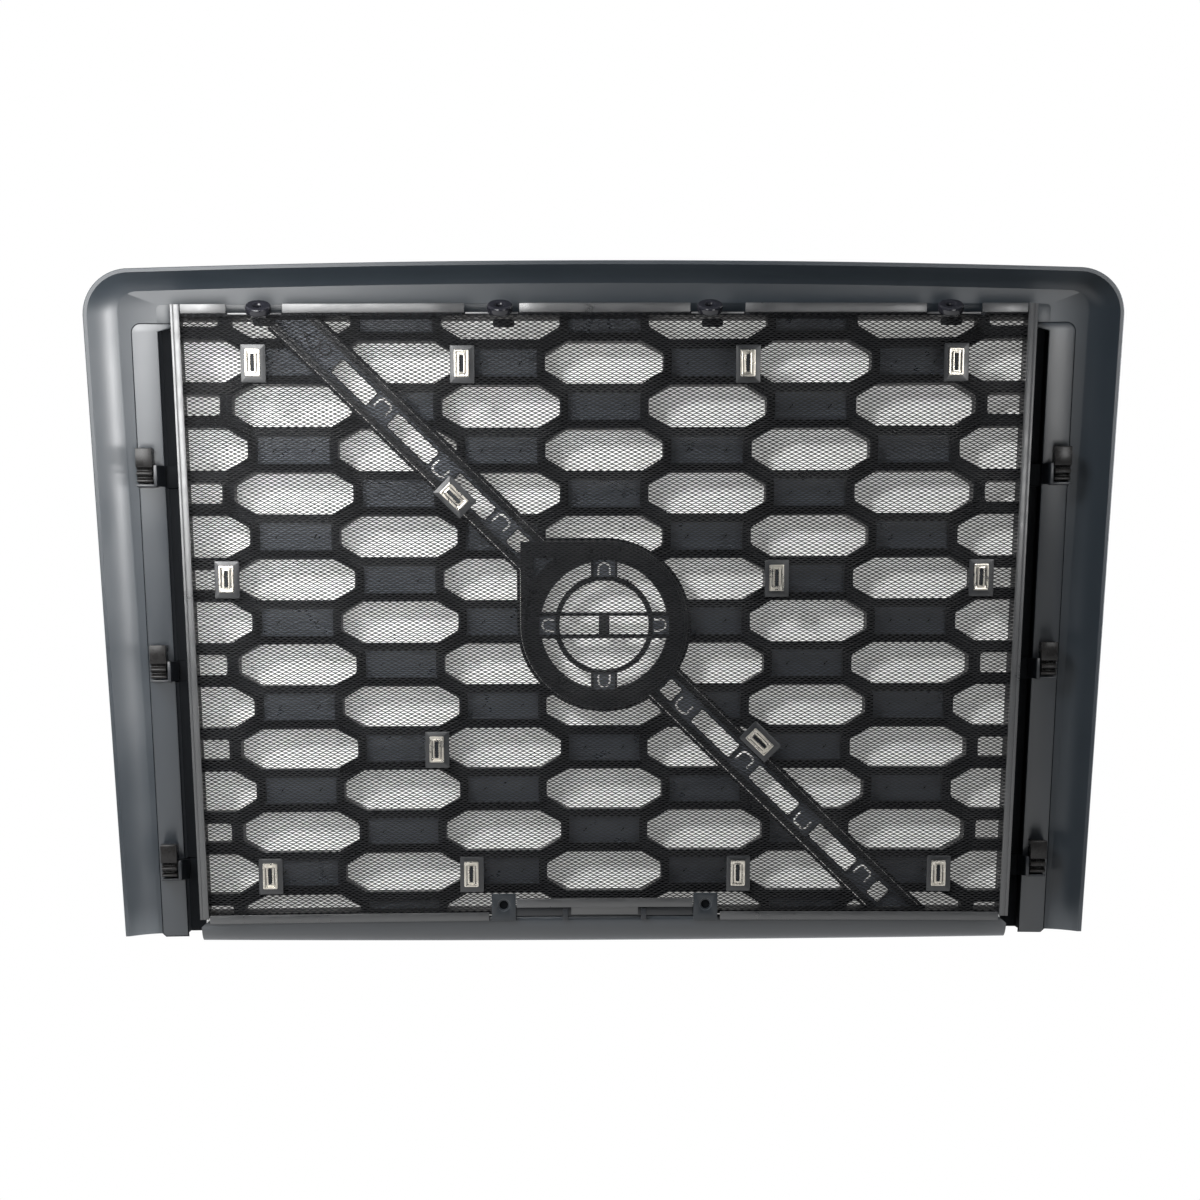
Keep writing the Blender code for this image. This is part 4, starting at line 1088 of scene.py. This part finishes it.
def make_strips():
    groove = (EDGE_LEVELS[0] + GROOVE_DEPTH, EDGE_LEVELS[1], 0)
    foot = RAIL_HALF_WIDTH - INSERT_TAPER * (SCREEN_TOP - SCREEN_FOOT)
    edge = [(RAIL_HALF_WIDTH, SCREEN_TOP + 0.0085), (foot, SCREEN_FOOT - 0.002)]
    for side, name in SIDES:
        rail, wing = (
            [Vector((side * (x - RAIL_WIDTH * start), z)) for x, z in edge]
            + [Vector((side * (x - RAIL_WIDTH * end), z)) for x, z in reversed(edge)]
            for start, end in ((0.0, 1.0), RAIL_GROOVE)
        )
        work = terrace([rail, wing], ruled([(wing, groove), (rail, EDGE_LEVELS)]))
        add_strip(f"rail_{name}", work, [f"screen_rail_{name}"])
        low, high = sorted(side * x for x in FOOT_STRIP_REACH)
        work = plate(rectangle((low, FOOT_STRIP_HEIGHTS[0]), (high, FOOT_STRIP_HEIGHTS[1])), EDGE_LEVELS)
        add_strip(f"foot_strip_{name}", work, [f"screen_bottom_flange_{name}"])
    for i, (low, high) in enumerate(TOP_STRIPS, 1):
        work = plate(crowned_strip(low, high, TOP_STRIP_HEIGHTS), EDGE_LEVELS)
        add_strip(f"top_strip_{i}", work, [f"screen_top_flange_{i}"])
    for i, x in enumerate(BOSS_PLACES, 1):
        height = crowned(x, INSERT_TOP) - BOSS_TAB_DROP
        tab = rectangle(*((x + a, height + b) for a, b in BOSS_TAB))
        add_strip(f"boss_tab_{i}", plate(tab, BOSS_TAB_LEVELS), bevel=0.0003)
    for i, (before, after) in enumerate(zip(TOP_STRIPS, TOP_STRIPS[1:]), 1):
        fold = crowned_strip(before[1] + 0.001, after[0] - 0.001, FOLD_HEIGHTS)
        add_strip(f"screen_fold_{i}", plate(fold, FOLD_LEVELS), bevel=0.0003)
    half, lip = MIDDLE_STRIP_HALF_WIDTH, MIDDLE_LIP_HALF_WIDTH
    low, high = MIDDLE_STRIP_HEIGHTS
    work = planned([
        (rectangle((-half, low), (half, high)), EDGE_LEVELS),
        (rectangle((-lip, MIDDLE_LIP_FOOT), (lip, low)), MIDDLE_LIP_LEVELS),
    ])
    add_strip("foot_strip_middle", work, ["screen_bottom_flange_middle"])


# ---- fasteners ----
def comb(length, width, teeth, tooth):
    """A long slot with saw teeth along both sides."""
    steps = teeth * 2
    right = []
    for i in range(steps + 1):
        right.append((width / 2 - (tooth if i % 2 else 0.0), -length / 2 + length * i / steps))
    return right + [(-reach, z) for reach, z in reversed(right)]


def make_fasteners():
    for i, (x, z, turn) in enumerate(BLADES, 1):
        spin = Matrix.Rotation(turn, 2)
        shift = spin @ Vector(PAD_SHIFT)
        pad = rounded(box_at((x + shift.x, z + shift.y), PAD_SIZE, turn), 0.0012, 3)
        work = plate(pad, PAD_LEVELS, [box_at((x, z), BLADE_SLOT_SIZE, turn)])
        add_piece(f"pad_{i:02d}", work, [PAD], [f"retainer_pad_{i:02d}"], bevel=0.0003)
        here = Vector((x, z))
        rules = [([here + spin @ Vector(p) for p in comb(*NUT_COMB)], None)]
        for side in (-1, 1):
            groove = box_at(here + spin @ Vector((side * NUT_GROOVE_REACH, 0.0)), NUT_GROOVE_SIZE, turn)
            rules.append((rounded(groove, 0.0003, 2), None))
        rules += [(rounded(box_at(here, size, turn), by, 3), levels) for size, by, levels in NUT_TERRACES]
        add_piece(f"nut_{i:02d}", planned(rules), [NICKEL], [f"push_nut_{i:02d}"], bevel=0.00022)


# ---- lower crossmember ----
def make_crossmember():
    rings = []
    for k in range(ROLL_SPANS + 1):
        x = -ROLL_HALF_WIDTH + 2 * ROLL_HALF_WIDTH * k / ROLL_SPANS
        ring = []
        for depth, z in ROLL_SECTION:
            depth, z = min(depth, ROLL_FRONT), max(z, ROLL_FOOT)
            cut = max(0.0, ROLL_CHAMFER - (ROLL_TOP - z)) if k in (0, ROLL_SPANS) else 0.0
            lift = ROLL_CROWN * (x / ROLL_HALF_WIDTH) ** 2 * (ROLL_TOP - z) / ROLL_HEIGHT
            ring.append((x - math.copysign(cut, x), depth, z + lift))
        rings.append(ring)
    add_piece("foot_roll", lofted(rings), [LEG], ["lower_crossmember"], flat=False, angle=28)
    (rear, front, _), (foot, top) = TAB_LEVELS, TAB_HEIGHTS
    for side, name in SIDES:
        centre = side * TAB_CENTRE
        hole, seat, socket = (
            disc(TAB_HOLE_RADIUS + rim, TAB_HOLE_STEPS, (centre, TAB_HOLE_HEIGHT))
            for rim in (0.0, TAB_SEAT_RIM, TAB_SHADE_RIM)
        )
        tab = rectangle((centre - TAB_HALF_WIDTH, foot), (centre + TAB_HALF_WIDTH, top))
        work = planned([(hole, None), (seat, (rear + TAB_SEAT_SINK, front, 0)), (tab, TAB_LEVELS)])
        add_piece(f"screw_tab_{name}", work, [SHELL], bevel=0.0004)
        # Painted shade: a thin black disc just behind the hole, so that the hole reads dark.
        add_piece(f"tab_hole_shade_{name}", plate(socket, TAB_SHADE_LEVELS), [SHADE_BLACK])
        rib, half = side * FOOT_RIB_CENTRE, FOOT_RIB_HALF_WIDTH
        work = block((rib - half, rear, foot), (rib + half, front, FOOT_RIB_TOP))
        add_piece(f"foot_rib_{name}", work, [CARRIER], bevel=0.0004)
    low, high = FOOT_LEDGE_HEIGHTS
    ledge = plate(rectangle((-TAB_CENTRE, low), (TAB_CENTRE, high)), FOOT_LEDGE_LEVELS)
    add_piece("foot_ledge", ledge, [CARRIER], bevel=0.0004)


# ---- bosses ----
def make_bosses():
    tip = Matrix.Rotation(BOSS_TILT, 3, "X")
    turns = [2 * math.pi * k / BOSS_STEPS for k in range(BOSS_STEPS + 1)]
    for i, x in enumerate(BOSS_PLACES, 1):
        base = Vector((x, BOSS_DEPTH, crowned(x, INSERT_TOP) - BOSS_SINK))
        rings = []
        for turn in turns:
            ring = [Vector((r * math.cos(turn), r * math.sin(turn), h)) for r, h in BOSS_SECTION]
            rings.append([base + tip @ spot for spot in ring])
        work = lofted(rings, closed_ends=False)
        add_piece(f"boss_{i}", work, [BOSS], [f"top_fixing_boss_{i}"], flat=False, angle=50)


# ---- studio ----
def only(thing):
    """A collection of one object, for a light that reaches or is blocked by nothing else."""
    made = bpy.data.collections.new(f"only_{thing.name}")
    made.objects.link(thing)
    return made


def light_room():
    """White where the camera looks, and for everything else a dark room that is bright ahead."""
    world = bpy.data.worlds.new("studio")
    bpy.context.scene.world = world
    world.use_nodes = True
    tree = world.node_tree
    way = node(tree, "TexCoord").outputs["Generated"]
    ahead = mapped(tree, node(tree, "SeparateXYZ", Vector=way).outputs["Y"], -0.1, 0.5)
    room = mixed(tree, ahead, (0.066, 0.075, 0.088), (0.9, 0.92, 0.95))
    seen = node(tree, "LightPath").outputs["Is Camera Ray"]
    fill(tree.nodes["Background"], Color=mixed(tree, seen, room, (1.0, 1.0, 1.0)))


def make_card():
    """The pale sheet behind the openings, bowed like the grille, with a painted glow."""
    card = bmesh.new()
    rows = []
    for k in range(CARD_ROWS + 1):
        z = CARD_FOOT + CARD_HEIGHT * k / CARD_ROWS
        xs = [x * CARD_HALF_WIDTH / CARD_COLUMNS for x in range(-CARD_COLUMNS, CARD_COLUMNS + 1)]
        rows.append([card.verts.new(bent(x, CARD_DEPTH, z)) for x in xs])
    for low, high in zip(rows, rows[1:]):
        for i in range(2 * CARD_COLUMNS):
            card.faces.new((low[i], low[i + 1], high[i + 1], high[i]))
    return stage_mesh("backdrop_card", card, one_sided("white_paper_painted_glow", (0.9, 0.895, 0.88), CARD_GLOW))


def make_studio(shell):
    view = bpy.context.scene.view_settings
    view.view_transform = "Standard"
    view.look = "None"
    light_room()
    paper = make_card()
    floor = bmesh.new()
    side, (near, far) = FLOOR_SIDE, FLOOR_DEPTHS
    spots = ((-side, near), (side, near), (side, far), (-side, far))
    floor.faces.new([floor.verts.new((*spot, FLOOR_HEIGHT)) for spot in spots])
    stage_mesh("floor", floor, one_sided("pale_floor", (0.62, 0.62, 0.62)))
    key = lamp("key", (-1.9, -2.0, 2.3), (0, 0, 0.0), 1.1, 1.1, 320)
    key.visible_glossy = False
    lamp("panel_left", (-0.6, -0.86, 0.225), (-0.6, 0.0, 0.225), 0.8, 0.77, 6.7, spread=84)
    lamp("panel_right", (0.48, -0.86, 0.02), (0.47, 0.0, 0.3), 0.34, 0.34, 2.3)
    wash = lamp("side_panel", (1.12, -0.75, 0.16), (-0.5, -0.08, 0.1), 1.5, 0.7, 21, spread=64)
    wash.light_linking.receiver_collection = only(shell)
    wash.light_linking.blocker_collection = only(shell)
    through = lamp("card_light", (-1.45, -2.7, 1.3), (0, 0, 0), 0.45, 0.45, 185)
    through.light_linking.receiver_collection = only(paper)


def stage_mesh(name, work, look):
    mesh = bpy.data.meshes.new(name)
    work.to_mesh(mesh)
    work.free()
    mesh.materials.append(look)
    thing = bpy.data.objects.new(name, mesh)
    bpy.context.scene.collection.objects.link(thing)
    return thing


def one_sided(name, colour, glow=(0.0, 0.0)):
    """Matt paper that is clear from behind, its glow given at the upper left and at the lower right. The glow
    is painted light, standing in for light falling on the paper.
    """
    paper, tree, shader = shaded(
        name, Base_Color=(*colour, 1.0), Roughness=0.9, Specular_IOR_Level=0.1,
        Emission_Color=(1.0, 0.985, 0.96, 1.0),
    )
    slope = node(tree, "VectorMath", operation="DOT_PRODUCT")
    slope.inputs[1].default_value = (1.0, 0.0, -1.2)
    tree.links.new(node(tree, "TexCoord").outputs["Object"], slope.inputs[0])
    fill(shader, Emission_Strength=mapped(tree, slope.outputs["Value"], -GLOW_REACH, GLOW_REACH, *glow))
    mix = node(tree, "MixShader", Fac=node(tree, "NewGeometry").outputs["Backfacing"])
    tree.links.new(shader.outputs["BSDF"], mix.inputs[1])
    tree.links.new(node(tree, "BsdfTransparent").outputs["BSDF"], mix.inputs[2])
    fill(tree.nodes["Material Output"], Surface=mix.outputs["Shader"])
    return paper


def lamp(name, at, aim, width, height, power, spread=180):
    """An area light that the camera doesn't see, facing its aim."""
    data = bpy.data.lights.new(name, "AREA")
    data.shape = "RECTANGLE"
    data.size = width
    data.size_y = height
    data.energy = power
    data.spread = math.radians(spread)
    light = bpy.data.objects.new(name, data)
    light.visible_camera = False
    put(light, at, (Vector(aim) - Vector(at)).to_track_quat("-Z", "Y"))
    return light


def put(thing, at, turn):
    thing.location = at
    thing.rotation_mode = "QUATERNION"
    thing.rotation_quaternion = turn
    bpy.context.scene.collection.objects.link(thing)


def make_camera():
    data = bpy.data.cameras.new("camera")
    data.sensor_width = 36.0
    data.lens = 85.29
    data.shift_x = -0.0033
    data.shift_y = 0.01767
    data.clip_end = 50.0
    camera = bpy.data.objects.new("camera", data)
    aim = Vector(CAMERA_AIM)
    at = aim + CAMERA_DISTANCE * Vector((-math.sin(CAMERA_YAW), -math.cos(CAMERA_YAW), 0.0))
    look = (aim - at).to_track_quat("-Z", "Y")
    put(camera, at, look @ Quaternion((0.0, 0.0, 1.0), CAMERA_ROLL))
    bpy.context.scene.camera = camera


shell = make_surround()
for side, name in SIDES:
    make_strip(side, name)
    for x, z, level in CLIP_CENTRES:
        make_bracket(side, x, z, f"{name}_{level}")
        make_clip(side, x, z, f"{name}_{level}")
make_insert()
make_carrier()
make_screen()
make_strips()
make_fasteners()
make_crossmember()
make_bosses()
make_studio(shell)
make_camera()
